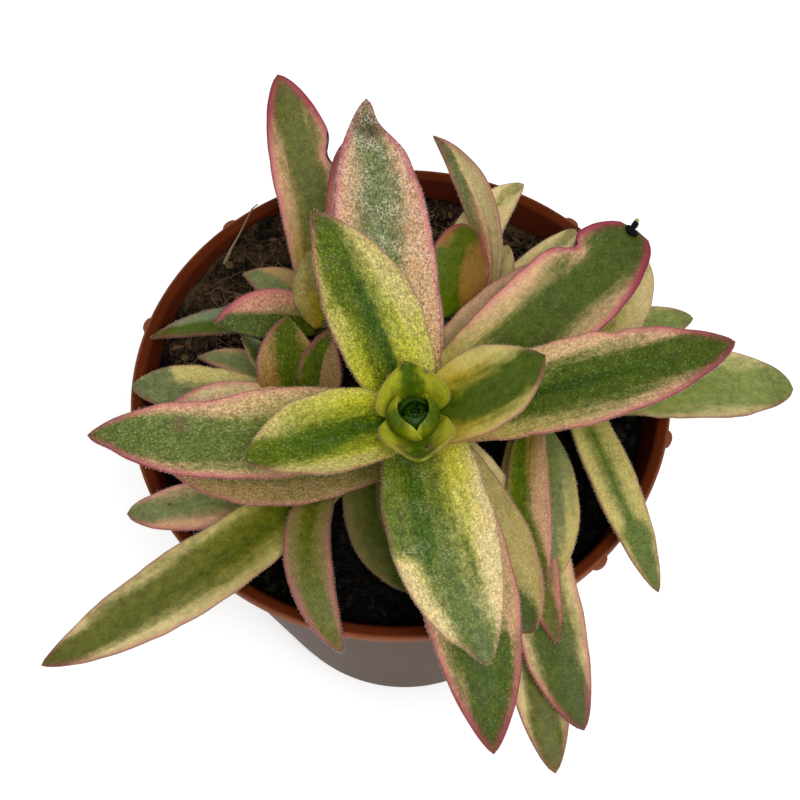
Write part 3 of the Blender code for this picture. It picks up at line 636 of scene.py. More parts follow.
    # Dry silvery flecks: winding threads 0.1 mm wide and specks, in loose patches
    worm = add(tree, "TexNoise", {"Vector": here, "Scale": 1 / 0.55, "Detail": 1})
    worm = add(tree, "Math", {0: worm, 1: 0.5}, operation="SUBTRACT")
    worm = add(tree, "Math", {0: worm}, operation="ABSOLUTE")
    worm = add(tree, "MapRange", {0: worm, 1: 0.01, 2: 0.045, 3: 0.9, 4: 0}, **SOFT)
    speck = add(tree, "MapRange", {0: grain, 1: 0.56, 2: 0.68, 3: 0, 4: 1}, **SOFT)
    fleck_and_glint_mask = add(tree, "Math", {0: worm, 1: speck}, operation="MAXIMUM")
    patch = add(tree, "TexNoise", {"Vector": here, "Scale": 1 / 3.5, "Detail": 5, "Roughness": 0.7})
    patch = add(tree, "Math", {0: scurf, 1: 0.22, 2: patch}, operation="MULTIPLY_ADD")
    patch = add(tree, "MapRange", {0: patch, 1: 0.52, 2: 0.8, 3: 0, 4: 1}, **SOFT)
    fleck_and_glint_mask = add(tree, "Math", {0: fleck_and_glint_mask, 1: patch}, operation="MULTIPLY")
    fleck_and_glint_mask = add(tree, "Math", {0: fleck_and_glint_mask, 1: scurf}, operation="MULTIPLY")
    # Painted highlights: pale glints on the bead tops, mixed in with the flecks' silver
    glint = add(tree, "MapRange", {0: cell, 1: 0.0, 2: 0.3, 3: 0.38, 4: 0}, **SOFT)
    glint = add(tree, "Math", {0: glint, 1: beads}, operation="MULTIPLY")
    bright = add(tree, "MapRange", {0: dash, 1: 0.4, 2: 0.65, 3: 0, 4: 1})
    glint = add(tree, "Math", {0: glint, 1: bright}, operation="MULTIPLY")
    fleck_and_glint_mask = add(tree, "Math", {0: fleck_and_glint_mask, 1: glint}, operation="MAXIMUM")
    skin = add(tree, "Mix", {0: fleck_and_glint_mask, 6: skin, 7: rgba(colours.silver_flecks_and_glints)}, **MIXED)

    tree.links.new(skin, shader.inputs["Base Color"])

    height = add(tree, "Math", {0: grain, 1: 0.8, 2: bead}, operation="MULTIPLY_ADD")
    height = add(tree, "Math", {0: height, 1: beads}, operation="MULTIPLY")
    bump = add(tree, "Bump", {"Strength": 0.7, "Distance": 0.13 * MM, "Height": height})
    tree.links.new(bump, shader.inputs["Normal"])
    return material


def stem_skin(settings):
    """Succulent stem: soft green skin that turns corky and brown, with fine cracks along it."""
    material, tree, shader = new_material("crassula_stem_skin", Roughness=0.6, Specular_IOR_Level=0.3)
    here = object_mm(tree)
    along = add(tree, "VectorMath", {0: here, 1: (1, 1, 0.3)}, operation="MULTIPLY")
    cracks = add(tree, "TexNoise", {"Vector": along, "Scale": 1 / 0.8, "Detail": 4})
    shade = add(tree, "MapRange", {0: cracks, 1: 0.3, 2: 0.7, 3: 0.6, 4: 1.3})
    colour = add(tree, "VectorMath", {0: settings.colours.stem[:], 3: shade}, operation="SCALE")
    tree.links.new(colour, shader.inputs["Base Color"])
    bump = add(tree, "Bump", {"Strength": 0.5, "Distance": 0.2 * MM, "Height": cracks})
    tree.links.new(bump, shader.inputs["Normal"])
    return material


def hair_wax(settings):
    """Leaf hairs: short clear bristles that catch the light as a pale fuzz."""
    return new_material(
        "leaf_hair",
        Base_Color=rgba(settings.colours.hair),
        Roughness=0.4,
        Subsurface_Weight=0.3,
        Subsurface_Scale=0.0003,
    )[0]


def moulded_polypropylene(settings):
    """Injection-moulded polypropylene, brown and thin: a soft sheen, a dull inner face, a rim edge with a
    painted highlight, and an outer face dulled by dust and painted darker as shade."""
    pot = settings.pot
    material, tree, shader = new_material("moulded_polypropylene", Roughness=0.42, IOR=1.08)
    here = object_mm(tree)
    face = add(tree, "Attribute", out="Fac", attribute_name="face")
    cloud = add(tree, "TexNoise", {"Vector": here, "Scale": 1 / 14, "Detail": 4, "Roughness": 0.6})
    grain = add(tree, "TexNoise", {"Vector": here, "Scale": 1 / 0.5, "Detail": 3})
    hoop = add(tree, "VectorMath", {0: here, 1: (0.01, 0.01, 1)}, operation="MULTIPLY")
    hoops = add(tree, "TexNoise", {"Vector": hoop, "Scale": 1 / 2.5, "Detail": 3})

    # face is 0 on the rim, 1 on the outer wall and -1 inside
    outer = add(tree, "MapRange", {0: face, 1: 0.1, 2: 0.9, 3: 0, 4: 1})
    inner = add(tree, "MapRange", {0: face, 1: -0.1, 2: -0.9, 3: 0, 4: 1})
    # Painted highlight: the rim's rounded outer edge, 52.5 mm from the axis, is painted pale
    flat = add(tree, "VectorMath", {0: here, 1: (1, 1, 0)}, operation="MULTIPLY")
    out = add(tree, "VectorMath", {0: flat}, out="Value", operation="LENGTH")
    out = add(tree, "Math", {0: grain, 1: 0.6, 2: out}, operation="MULTIPLY_ADD")
    lip_highlight = add(tree, "MapRange", {0: out, 1: 52.0, 2: 52.7, 3: 0, 4: 0.9}, **SOFT)
    clay = add(tree, "Mix", {0: lip_highlight, 6: rgba(pot.clay), 7: rgba(pot.worn)}, **MIXED)
    worn = add(tree, "MapRange", {0: cloud, 1: 0.3, 2: 0.7, 3: 0.8, 4: 1.2})
    clay = add(tree, "VectorMath", {0: clay, 3: worn}, operation="SCALE")
    # The outer face: dust streaks on a dark brown that is partly painted shade
    dust = add(tree, "MapRange", {0: hoops, 1: 0.3, 2: 0.7, 3: 0.92, 4: 1.08})
    dusty = add(tree, "VectorMath", {0: pot.outside[:], 3: dust}, operation="SCALE")
    colour = add(tree, "Mix", {0: inner, 6: clay, 7: rgba(pot.inside)}, **MIXED)
    colour = add(tree, "Mix", {0: outer, 6: colour, 7: dusty}, **MIXED)
    tree.links.new(colour, shader.inputs["Base Color"])
    bump = add(tree, "Bump", {"Strength": 0.15, "Distance": 0.1 * MM, "Height": grain})
    tree.links.new(bump, shader.inputs["Normal"])
    return material


def peat(settings):
    """Damp potting peat: nearly black where it is wet, and painted black toward the front as shade; brown
    where it has dried, rough all over.
    """
    soil = settings.soil
    material, tree, shader = new_material("potting_peat", Roughness=1.0, Specular_IOR_Level=0.1)
    here = object_mm(tree)
    damp = add(tree, "TexNoise", {"Vector": here, "Scale": 1 / 9, "Detail": 5, "Roughness": 0.65})
    grain = add(tree, "TexNoise", {"Vector": here, "Scale": 1 / 0.8, "Detail": 5, "Roughness": 0.8})
    dry = add(tree, "Math", {0: damp, 1: grain}, operation="ADD")
    dry = add(tree, "MapRange", {0: dry, 1: 0.92, 2: 1.18, 3: 0, 4: 1})
    place = add(tree, "SeparateXYZ", {0: here})
    # Painted shade: the brown fades out toward the front, so the peat there is painted black
    back = add(tree, "Math", {0: place, 1: -0.3, 2: place.node.outputs["Y"]}, operation="MULTIPLY_ADD")
    back = add(tree, "MapRange", {0: back, 1: -16, 2: 24, 3: 0.0, 4: 1})
    dry = add(tree, "Math", {0: dry, 1: back}, operation="MULTIPLY")
    colour = add(tree, "Mix", {0: dry, 6: rgba(soil.dark), 7: rgba(soil.brown)}, **MIXED)
    tree.links.new(colour, shader.inputs["Base Color"])
    bump = add(tree, "Bump", {"Strength": 0.9, "Distance": 0.5 * MM, "Height": grain})
    tree.links.new(bump, shader.inputs["Normal"])
    return material


def litter(name, settings, pale, roughness=0.9):
    """Bark, moss and straw bits: dull plant fibre, each piece a little lighter or darker than the next, and
    darker where its tone holds painted shade.
    """
    material, tree, shader = new_material(name, Roughness=roughness, Specular_IOR_Level=0.2)
    here = object_mm(tree)
    tone = add(tree, "Attribute", out="Fac", attribute_name="tone")
    grain = add(tree, "TexNoise", {"Vector": here, "Scale": 1 / 0.7, "Detail": 4, "Roughness": 0.7})
    tone = add(tree, "Math", {0: grain, 1: 0.5, 2: tone}, operation="MULTIPLY_ADD")
    tone = add(tree, "Math", {0: tone, 1: 0.25}, operation="SUBTRACT", use_clamp=True)
    colour = add(tree, "Mix", {0: tone, 6: rgba(settings.soil.dark), 7: rgba(pale)}, **MIXED)
    tree.links.new(colour, shader.inputs["Base Color"])
    bump = add(tree, "Bump", {"Strength": 0.6, "Distance": 0.15 * MM, "Height": grain})
    tree.links.new(bump, shader.inputs["Normal"])
    return material


# Meshes

# Distance under which two vertices become one
WELD = 0.001 * MM


def finish_piece(name, bm, materials, replaces=(), smooth=True, sharp=40):
    """Turn a bmesh into a piece of the object that rides with its frame."""
    mesh = bpy.data.meshes.new(name)
    bm.to_mesh(mesh)
    bm.free()
    for material in materials:
        mesh.materials.append(material)
    if smooth:
        mesh.shade_smooth()
        mesh.set_sharp_from_angle(angle=math.radians(sharp))
    piece = bpy.data.objects.new(name, mesh)
    bpy.context.scene.collection.objects.link(piece)
    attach(piece, "root")
    for node in replaces:
        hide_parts(node)
    return piece


def wrapped_grid(columns, rows, points, layers):
    """A closed body from a grid whose rows wrap round it. points[column, row] gives each place, and
    layers maps an attribute's name to its kind and its values on the same grid."""
    bm = bmesh.new()
    bmesh.ops.create_grid(bm, x_segments=columns, y_segments=rows, size=1.0)
    made = {name: getattr(bm.verts.layers, kind).new(name) for name, (kind, _) in layers.items()}
    for vert in bm.verts:
        column = round((vert.co.x + 1) / 2 * columns)
        row = round((vert.co.y + 1) / 2 * rows) % rows
        vert.co = points[column, row]
        for name, (_, values) in layers.items():
            vert[made[name]] = values[column, row]
    bmesh.ops.remove_doubles(bm, verts=bm.verts, dist=WELD)
    bmesh.ops.holes_fill(bm, edges=[edge for edge in bm.edges if edge.is_boundary])
    bmesh.ops.recalc_face_normals(bm, faces=bm.faces)
    return bm


def gather(shapes):
    """Put several bmeshes with the same attributes into one."""
    whole = bmesh.new()
    for shape in shapes:
        mesh = bpy.data.meshes.new("shape")
        shape.to_mesh(mesh)
        shape.free()
        whole.from_mesh(mesh)
        bpy.data.meshes.remove(mesh)
    return whole


def copies(templates, places, tones):
    """One bmesh with a copy of a template at each place, in turn, with its own tone."""
    whole = bmesh.new()
    meshes = []
    for template in templates:
        mesh = bpy.data.meshes.new("template")
        template.to_mesh(mesh)
        template.free()
        mesh.attributes.new("tone", "FLOAT", "POINT")
        meshes.append((mesh, np.array([vertex.co for vertex in mesh.vertices])))
    for index, (place, tone) in enumerate(zip(places, tones)):
        mesh, base = meshes[index % len(meshes)]
        turn = np.array(place)
        mesh.vertices.foreach_set("co", (base @ turn[:3, :3].T + turn[:3, 3]).ravel())
        mesh.attributes["tone"].data.foreach_set("value", [tone] * len(base))
        whole.from_mesh(mesh)
    for mesh, _ in meshes:
        bpy.data.meshes.remove(mesh)
    return whole


def turned(profile, steps):
    """Turn (radius, height) points, whose ends are on the axis, about +Z into a closed body."""
    bm = bmesh.new()
    corners = [bm.verts.new((radius, 0.0, height)) for radius, height in profile]
    edges = [bm.edges.new(pair) for pair in zip(corners, corners[1:])]
    bmesh.ops.spin(
        bm,
        geom=corners + edges,
        cent=(0, 0, 0),
        axis=(0, 0, 1),
        angle=2 * math.pi,
        steps=steps,
        use_merge=True,
    )
    bmesh.ops.remove_doubles(bm, verts=bm.verts, dist=WELD)
    bmesh.ops.recalc_face_normals(bm, faces=bm.faces)
    return bm


def arc(radius, height, reach, first, last, steps=4):
    """Points of a rounded corner about (radius, height), between two angles in degrees."""
    angles = [math.radians(first + (last - first) * step / steps) for step in range(steps + 1)]
    return [(radius + reach * math.cos(angle), height + reach * math.sin(angle)) for angle in angles]


# Pot

# Radius of the rim's edge: the frame's box of the pot is wider, because it also holds the lugs
RIM_RADIUS = 52.5 * MM
FLOOR_THICKNESS = 1.4 * MM
FOOT_RADIUS = 0.9 * MM
WALL_RINGS = 12
DRAIN_HOLES = 6
DRAIN_RADIUS = 3 * MM
DRAIN_CIRCLE_RADIUS = 23 * MM
# Headings of the lugs in degrees, each with another lug straight across the pot
LUG_ANGLES = (-16, -48, 45)
LUG_REACH = 0.9 * MM
LUG_LENGTH = 3.4 * MM
LUG_THICKNESS = 1.5 * MM
LUG_ROOT = 0.1 * MM
LUG_BEVEL = 0.25 * MM


def wall_radius(pot, height):
    """Outer radius of the tapered wall at a height."""
    widening = pot.wall_top_radius - pot.base_radius
    return pot.base_radius + widening * height / (POT_HEIGHT - pot.rim_thickness)


def lug(angle):
    """A small flat rounded tab that stands out from the rim's edge."""
    root = Matrix.Translation((RIM_RADIUS - LUG_ROOT, 0, POT_HEIGHT - MM))
    turn = Matrix.Rotation(angle, 4, "Z") @ root
    bm = bmesh.new()
    bmesh.ops.create_cone(bm, cap_ends=True, segments=32, radius1=1, radius2=1, depth=1)
    flat = Matrix.Diagonal((LUG_REACH + LUG_ROOT, LUG_LENGTH / 2, LUG_THICKNESS, 1.0))
    bmesh.ops.transform(bm, matrix=turn @ flat, verts=bm.verts)
    ring = [
        edge
        for edge in bm.edges
        if len(edge.link_faces) == 2 and any(len(face.verts) > 4 for face in edge.link_faces)
    ]
    bmesh.ops.bevel(bm, geom=ring, offset=LUG_BEVEL, segments=2, profile=0.5, affect="EDGES", material=-1)
    return bm


def boolean(bm, operation, pieces):
    """Join or cut a bmesh with others by an applied Boolean modifier."""
    target = bpy.data.objects.new("target", bpy.data.meshes.new("target"))
    bm.to_mesh(target.data)
    bm.free()
    bpy.context.scene.collection.objects.link(target)
    group = bpy.data.collections.new("pieces")
    bpy.context.scene.collection.children.link(group)
    for piece in pieces:
        mesh = bpy.data.meshes.new("piece")
        piece.to_mesh(mesh)
        piece.free()
        group.objects.link(bpy.data.objects.new("piece", mesh))
    modifier = target.modifiers.new("Boolean", "BOOLEAN")
    modifier.operation = operation
    modifier.operand_type = "COLLECTION"
    modifier.collection = group
    modifier.solver = "EXACT"
    bpy.context.view_layer.update()
    shaped = bmesh.new()
    shaped.from_object(target, bpy.context.evaluated_depsgraph_get())
    for thing in [*group.objects, target]:
        bpy.data.objects.remove(thing, do_unlink=True)
    bpy.data.collections.remove(group)
    return shaped


class CRASSULA_OT_pot(bpy.types.Operator):
    """Build the moulded nursery pot"""

    bl_idname = "crassula.pot"
    bl_label = "Nursery pot"

    def execute(self, context):
        settings = context.scene.crassula
        pot = settings.pot
        rim = RIM_RADIUS
        soft = pot.edge_radius
        inner = rim - pot.rim_width
        under = POT_HEIGHT - pot.rim_thickness
        floor, foot = FLOOR_THICKNESS, FOOT_RADIUS
        profile = [(0.0, 0.0)]
        profile += arc(pot.base_radius - foot, foot, foot, -90, 0)
        heights = [under * step / WALL_RINGS for step in range(1, WALL_RINGS)]
        profile += [(wall_radius(pot, height), height) for height in heights]
        profile += [(wall_radius(pot, under - soft), under - soft), (wall_radius(pot, under) + soft, under)]
        profile += arc(rim - soft, under + soft, soft, -90, 0)
        profile += arc(rim - soft, POT_HEIGHT - soft, soft, 0, 90)
        profile += arc(inner + pot.lip_radius, POT_HEIGHT - pot.lip_radius, pot.lip_radius, 90, 180)
        profile += [(wall_radius(pot, under) - pot.wall, under)]
        profile += [(wall_radius(pot, height) - pot.wall, height) for height in reversed(heights)]
        profile += [(wall_radius(pot, floor) - pot.wall - foot, floor), (0.0, floor)]
        bm = turned(profile, pot.steps)
        lugs = [lug(math.radians(angle + turn)) for angle in LUG_ANGLES for turn in (0, 180)]
        bm = boolean(bm, "UNION", lugs)
        drains = []
        for index in range(DRAIN_HOLES):
            angle = 2 * math.pi * (index + 0.5) / DRAIN_HOLES
            hole = bmesh.new()
            bmesh.ops.create_cone(
                hole,
                cap_ends=True,
                segments=32,
                radius1=DRAIN_RADIUS,
                radius2=DRAIN_RADIUS,
                depth=4 * floor,
                matrix=Matrix.Rotation(angle, 4, "Z") @ Matrix.Translation((DRAIN_CIRCLE_RADIUS, 0, 0)),
            )
            drains.append(hole)
        bm = boolean(bm, "DIFFERENCE", drains)
        face = bm.verts.layers.float.new("face")
        for vert in bm.verts:
            out = vert.co.xy.length
            if vert.co.z < under - soft / 2:
                vert[face] = 1.0 if out > wall_radius(pot, vert.co.z) - pot.wall / 2 else -1.0
            elif out < inner + pot.lip_radius / 2:
                vert[face] = (out - inner) / (pot.lip_radius / 2) - 1.0 if out > inner else -1.0
        finish_piece("nursery_pot", bm, [moulded_polypropylene(settings)], ["pot"])
        return {"FINISHED"}


# Soil

SOIL_GAP = 0.3 * MM
SOIL_RINGS = 56
SOIL_SEED = 11
# Banks of soil at the back and at the back left, in millimetres: where each starts to rise, how wide
# its slope is, and how high it gets
BACK_BANK = (12, 28, 1.6)
LEFT_BANK = (16, 30, 2.8)
# How far from the pot's axis the crumbs and fibres lie, and how high the fibres lie over the surface
CRUMB_REACH = 47.2 * MM
FIBRE_REACH = 45 * MM
FIBRE_LIFT = 0.7 * MM
# Upper end of a random heading in radians, which is about a full turn
ANY_HEADING = 6.3


def bank(out, start, wide, high):
    """Height of a bank of soil, at a distance out toward it."""
    return high * min(1.0, max(0.0, out - start) / wide) ** 2


def soil_height(soil, x, y):
    """Height of the soil's uneven surface: a gentle slope, low waves, clods and the two banks."""
    wave = math.sin(190 * x + 0.6) * math.cos(170 * y - 0.4)
    wave += 0.6 * math.sin(410 * x - 330 * y + 1.1)
    wave += 0.4 * math.cos(520 * y + 260 * x)
    clods = noise.fractal(Vector((x, y, 0.3)) / (5 * MM), 0.7, 2.2, 4)
    banks = (bank(y / MM, *BACK_BANK) + bank((0.56 * y - 0.83 * x) / MM, *LEFT_BANK)) * MM
    return soil.level - 0.022 * x + 0.02 * y + 0.4 * MM * wave + soil.lump * 0.6 * clods + banks


def crumb(seed):
    """A rough lump one unit across."""
    bm = bmesh.new()
    bmesh.ops.create_icosphere(bm, subdivisions=1, radius=0.5)
    for vert in bm.verts:
        vert.co *= 1 + 0.55 * noise.noise(vert.co * 2.3 + Vector((seed * 7.1, 0, 0)))
    return bm


def fibre(seed):
    """A thin bent thread one unit long, with three sides."""
    draw = random.Random(seed)
    bend = draw.uniform(-0.5, 0.5)
    lift = draw.uniform(0.0, 0.3)
    steps = 6
    bm = bmesh.new()
    bmesh.ops.create_cone(bm, cap_ends=True, segments=3, radius1=0.5, radius2=0.35, depth=1)
    bmesh.ops.rotate(bm, verts=bm.verts, matrix=Matrix.Rotation(math.radians(90), 3, "Y"))
    for step in range(1, steps):
        bmesh.ops.bisect_plane(
            bm,
            geom=bm.verts[:] + bm.edges[:] + bm.faces[:],
            plane_co=(step / steps - 0.5, 0, 0),
            plane_no=(1, 0, 0),
        )
    for vert in bm.verts:
        place = vert.co.x
        vert.co = Vector((place, vert.co.y * 0.03, vert.co.z * 0.03))
        vert.co.y += bend * (0.25 - place * place) + 0.06 * math.sin(9 * place + seed)
        vert.co.z += lift * (0.25 - place * place)
    return bm


def strewn(soil, count, draw, reach):
    """Random places on the soil's surface, inside the pot."""
    for _ in range(count):
        out = reach * math.sqrt(draw.random())
        angle = draw.uniform(0, 2 * math.pi)
        x, y = out * math.cos(angle), out * math.sin(angle)
        yield Vector((x, y, soil_height(soil, x, y)))


def lit_paleness(place):
    """How pale the litter is painted: palest at the back, and black at the front as painted shade."""
    side = (place.y - 0.3 * place.x) / MM
    return 0.06 + 0.94 / (1 + math.exp(-(side - 6) / 8))


class CRASSULA_OT_soil(bpy.types.Operator):
    """Build the peat with its crumbs, bark chips and fibres"""

    bl_idname = "crassula.soil"
    bl_label = "Potting soil"

    def execute(self, context):
        settings = context.scene.crassula
        pot, soil = settings.pot, settings.soil
        clear = pot.wall + SOIL_GAP
        rim = wall_radius(pot, soil.level) - clear
        profile = [(0.0, SOIL_FLOOR), (wall_radius(pot, SOIL_FLOOR) - clear, SOIL_FLOOR)]
        profile += [(rim * step / SOIL_RINGS, soil.level) for step in range(SOIL_RINGS, -1, -1)]
        bm = turned(profile, pot.steps)
        for vert in bm.verts:
            if vert.co.z < soil.level - MM:
                continue
            vert.co.z = soil_height(soil, vert.co.x, vert.co.y)
            vert.co.xy = vert.co.xy * ((wall_radius(pot, vert.co.z) - clear) / rim)
        finish_piece("soil_bed", bm, [peat(settings)], ["soil"], sharp=180)

        draw = random.Random(SOIL_SEED)
        places, tones = [], []
        for place in strewn(soil, soil.crumbs, draw, CRUMB_REACH):
            length = MM * 0.5 * math.exp(draw.uniform(0, 1.75))
            wide, high = length * draw.uniform(0.3, 0.9), length * draw.uniform(0.2, 0.6)
            heading = Matrix.Rotation(draw.uniform(0, ANY_HEADING), 4, "Z")
            turn = heading @ Matrix.Rotation(draw.gauss(0, 0.3), 4, "X")
            places.append(Matrix.Translation(place) @ turn @ Matrix.Diagonal((length, wide, high, 1)))
            tones.append(lit_paleness(place) * draw.uniform(0.05, 1.0) ** 1.5)
        bm = copies([crumb(seed) for seed in range(7)], places, tones)
        bark = litter("bark_crumbs", settings, soil.bark)
        finish_piece("soil_crumbs", bm, [bark], smooth=False)

        places, tones = [], []
        for place in strewn(soil, soil.fibres, draw, FIBRE_REACH):
            length = draw.uniform(2, 8) * MM
            thick = draw.uniform(2.5, 7) * MM
            heading = Matrix.Rotation(draw.uniform(0, ANY_HEADING), 4, "Z")
            turn = heading @ Matrix.Rotation(draw.gauss(0, 0.15), 4, "Y")
            lift = Matrix.Translation(place + Vector((0, 0, FIBRE_LIFT)))
            places.append(lift @ turn @ Matrix.Diagonal((length, thick, thick, 1)))
            tones.append(lit_paleness(place) * draw.uniform(0.2, 1.0))
        bm = copies([fibre(seed) for seed in range(9)], places, tones)
        moss = litter("moss_fibres", settings, soil.fibre)
        finish_piece("soil_fibres", bm, [moss])
        return {"FINISHED"}


# Plant

# Places across a blade, as a share of the half width, closest at the middle and the margins
TOP_PLACES = (0, 0.035, 0.08, 0.15, 0.25, 0.37, 0.5, 0.63, 0.75, 0.85, 0.92, 0.97, 1)
UNDER_PLACES = (0, 0.25, 0.5, 0.7, 0.87, 1)
# Points that round a margin: angle in degrees, and the share of the upper side's colours
ROUNDED = ((45, 0.85), (0, 0.5), (-45, 0.15))
# Steps of the middle line from one cross-section to the next
CENTRE_STEPS = 8
# Cross-sections of blades that are at most 26 mm and at most 40 mm long
SHORT_STATIONS = 30
MIDDLE_STATIONS = 48
# Heights in millimetres of a stem's foot in the soil and of the place where it starts to lean
STEM_FOOT = 72.0
STEM_BEND = 88.0
# How far a leaf's root lies from the stem's middle line, in millimetres
CLASP_DEPTH = 1.0
# Least width that is divided by, in millimetres
SLIVER = 1e-6
# Share of a blade, from its root, that has no fringe
BARE_SHARE = 0.12
# Seeds of one shoot's leaves lie this far from the next shoot's
SEED_STEP = 100
# Half shells of the bud, in degrees: how far each goes round to one side, where it starts to get
# lower, and how high its foot and its two ends lie on the dome
SHELL_SIDE = 94
SHELL_SLOPE = 60
SHELL_FOOT = -65
SHELL_END = -45
# Middle of the noise that the leaf skin adds before it compares with the green's reach
NOISE_MIDDLE = 0.55


def stem_point(shoot, height):
    """Middle of the stem at a height, in millimetres: upright in the soil, then leaning to its head."""
    foot = Vector((*shoot.foot, STEM_BEND))
    head = Vector(shoot.head)
    share = max(0.0, (height - foot.z) / (head.z - foot.z))
    point = foot.lerp(head, share)
    return Vector((point.x, point.y, height))


def leaf_line(shoot, leaf, stations):
    """Evenly spaced places along a blade, with its middle line and its across and up directions."""
    steps = stations * CENTRE_STEPS
    middles = (np.arange(steps) + 0.5) / steps
    places = np.arange(stations + 1) / stations

    def heading(share):
        azimuth = np.radians(leaf.azimuth + leaf.sweep * share)
        slope = np.radians(leaf.rise - leaf.droop * share)
        flat = np.cos(slope)
        return azimuth, np.stack([flat * np.cos(azimuth), flat * np.sin(azimuth), np.sin(slope)], axis=1)

    start = np.array(stem_point(shoot, leaf.root))
    if leaf.aside:
        start += np.array([leaf.aside[0], leaf.aside[1], 0.0])
    else:
        azimuth = math.radians(leaf.azimuth)
        start += np.array([CLASP_DEPTH * math.cos(azimuth), CLASP_DEPTH * math.sin(azimuth), 0.0])
    moves = heading(middles)[1] * leaf.length / steps
    line = np.vstack([start, start + np.cumsum(moves, axis=0)])[::CENTRE_STEPS]
    azimuth, along = heading(places)
    across = np.stack([np.sin(azimuth), -np.cos(azimuth), np.zeros_like(azimuth)], axis=1)
    up = np.cross(across, along)
    roll = math.radians(leaf.roll)
    turned_across = across * math.cos(roll) + up * math.sin(roll)
    turned_up = up * math.cos(roll) - across * math.sin(roll)
    return places, line, along, turned_across, turned_up


def half_widths(form, leaf, places, side):
    """Half the blade's width along it, with that side's notches."""
    rising = form.clasp + (1 - form.clasp) * np.sin(np.minimum(places / leaf.belly, 1) * math.pi / 2)
    past = np.clip((places - leaf.belly) / (1 - leaf.belly), 0, 1)
    wide = np.where(places < leaf.belly, rising, np.maximum(0, 1 - past**2) ** leaf.point)
    for notch_side, place, depth, reach in leaf.notches:
        if notch_side == side:
            wide = wide * (1 - depth * np.exp(-(((places - place) / reach) ** 2)))
    return leaf.width / 2 * wide


def waves(draw, places, length):
    """A slow random wave along a margin, from -1 to 1."""
    total = np.zeros_like(places)
    for wavelength, weight in ((13, 0.5), (7, 0.35), (4, 0.15)):
        phase = draw.uniform(0, 2 * math.pi)
        varied = wavelength * draw.uniform(0.8, 1.25)
        total += weight * np.sin(2 * math.pi * places * length / varied + phase)
    return total


def leaf_outline(form, leaf, seed, stations, shoot):
    """The blade's points and attributes on a grid of stations by places round it."""
    draw = random.Random(seed)
    places, line, along, across, up = leaf_line(shoot, leaf, stations)
    margin = form.margin / MM * min(1.0, 0.3 + leaf.length / 30)
    wave = form.wave / MM * min(1.0, leaf.width / 14)
    ripple = {side: waves(draw, places, leaf.length) for side in ("left", "right")}
    curl = {side: waves(draw, places, leaf.length) for side in ("left", "right")}
    hold = np.clip(places * 4, 0, 1) * np.clip((1 - places) * 8, 0, 1)
    wide = {}
    for side in ("left", "right"):
        wide[side] = half_widths(form, leaf, places, side) * (1 + 0.018 * ripple[side] * hold)
    plump = 0.55 + 0.45 * np.sin(math.pi / 2 * np.minimum(1, places / 0.5))
    middle = np.maximum(leaf.thick * plump * (1 - 0.45 * places**2), margin + 0.1)

    rounds = len(TOP_PLACES) * 2 - 1 + len(UNDER_PLACES) * 2 - 1 + len(ROUNDED) * 2
    points = np.zeros((stations + 1, rounds, 3))
    layers = {
        "blade": np.zeros((stations + 1, rounds, 3)),
        "share": np.zeros((stations + 1, rounds, 3)),
        "margin": np.zeros((stations + 1, rounds)),
    }
    for index, place in enumerate(places):
        outline = []
        for sign in (-1, 1):
            side = "left" if sign < 0 else "right"
            width = max(float(wide[side][index]), 0.0)
            edge = min(margin / 2, 0.45 * width)
            flat = width - edge
            lift = wave * curl[side][index] * hold[index]
            groove = form.groove / MM * min(1, place / 0.05) * max(0, 1 - place / 0.85)
            top = []
            for share in TOP_PLACES:
                height = leaf.cup * width * (share * flat / max(width, SLIVER)) ** 2 + lift * share**2
                height -= groove * math.exp(-((share * flat / 0.4) ** 2))
                top.append((sign * share * flat, height, 1.0))
            crown = top[-1][1]
            rounded = []
            for angle, face in ROUNDED:
                turn = math.radians(angle)
                out = flat + edge * math.cos(turn)
                rounded.append((sign * out, crown - edge + edge * math.sin(turn), face))
            under = []
            for share in reversed(UNDER_PLACES):
                height = -middle[index] + (crown - 2 * edge + middle[index]) * share**1.6
                under.append((sign * share * flat, height, 0.0))
            outline.append((top, rounded, under))
        (left_top, left_round, left_under), (right_top, right_round, right_under) = outline
        upper = left_top[::-1] + right_top[1:]
        lower = right_under + left_under[::-1][1:]
        loop = upper + right_round + lower + left_round[::-1]
        for row, (x, z, face) in enumerate(loop):
            width = float(wide["left" if x < 0 else "right"][index])
            tipped = index == stations
            if tipped:
                x, z = 0.0, -margin / 2
            points[index, row] = (line[index] + across[index] * x + up[index] * z) * MM
            layers["blade"][index, row] = (x, place * leaf.length, seed * 3.7)
            layers["share"][index, row] = (x / max(width, SLIVER) if not tipped else 0.0, place, face)
            plain = 4.0 if leaf.plain == ("left" if x < 0 else "right") else 0.0
            layers["margin"][index, row] = plain + (max(0.0, width - abs(x)) if not tipped else 0.0)
    return points, layers, (places, line, along, across, up, wide)


def scar_dose(leaf, places, wide, blade):
    """How deep in a wound each point of the blade is, from 0 to 1."""
    dose = np.zeros(blade.shape[:2])
    for across, along, radius, depth in leaf.scars:
        index = int(np.argmin(np.abs(places - along)))
        x = across * float(wide["left" if across < 0 else "right"][index])
        far = np.hypot(blade[..., 0] - x, blade[..., 1] - along * leaf.length)
        dose = np.maximum(dose, depth * np.clip(1.5 - far / radius, 0, 1))
    return dose


def ease(values, start, end):
    """A soft step from 0 at start to 1 at end."""
    share = np.clip((values - start) / (end - start), 0, 1)
    return share * share * (3 - 2 * share)


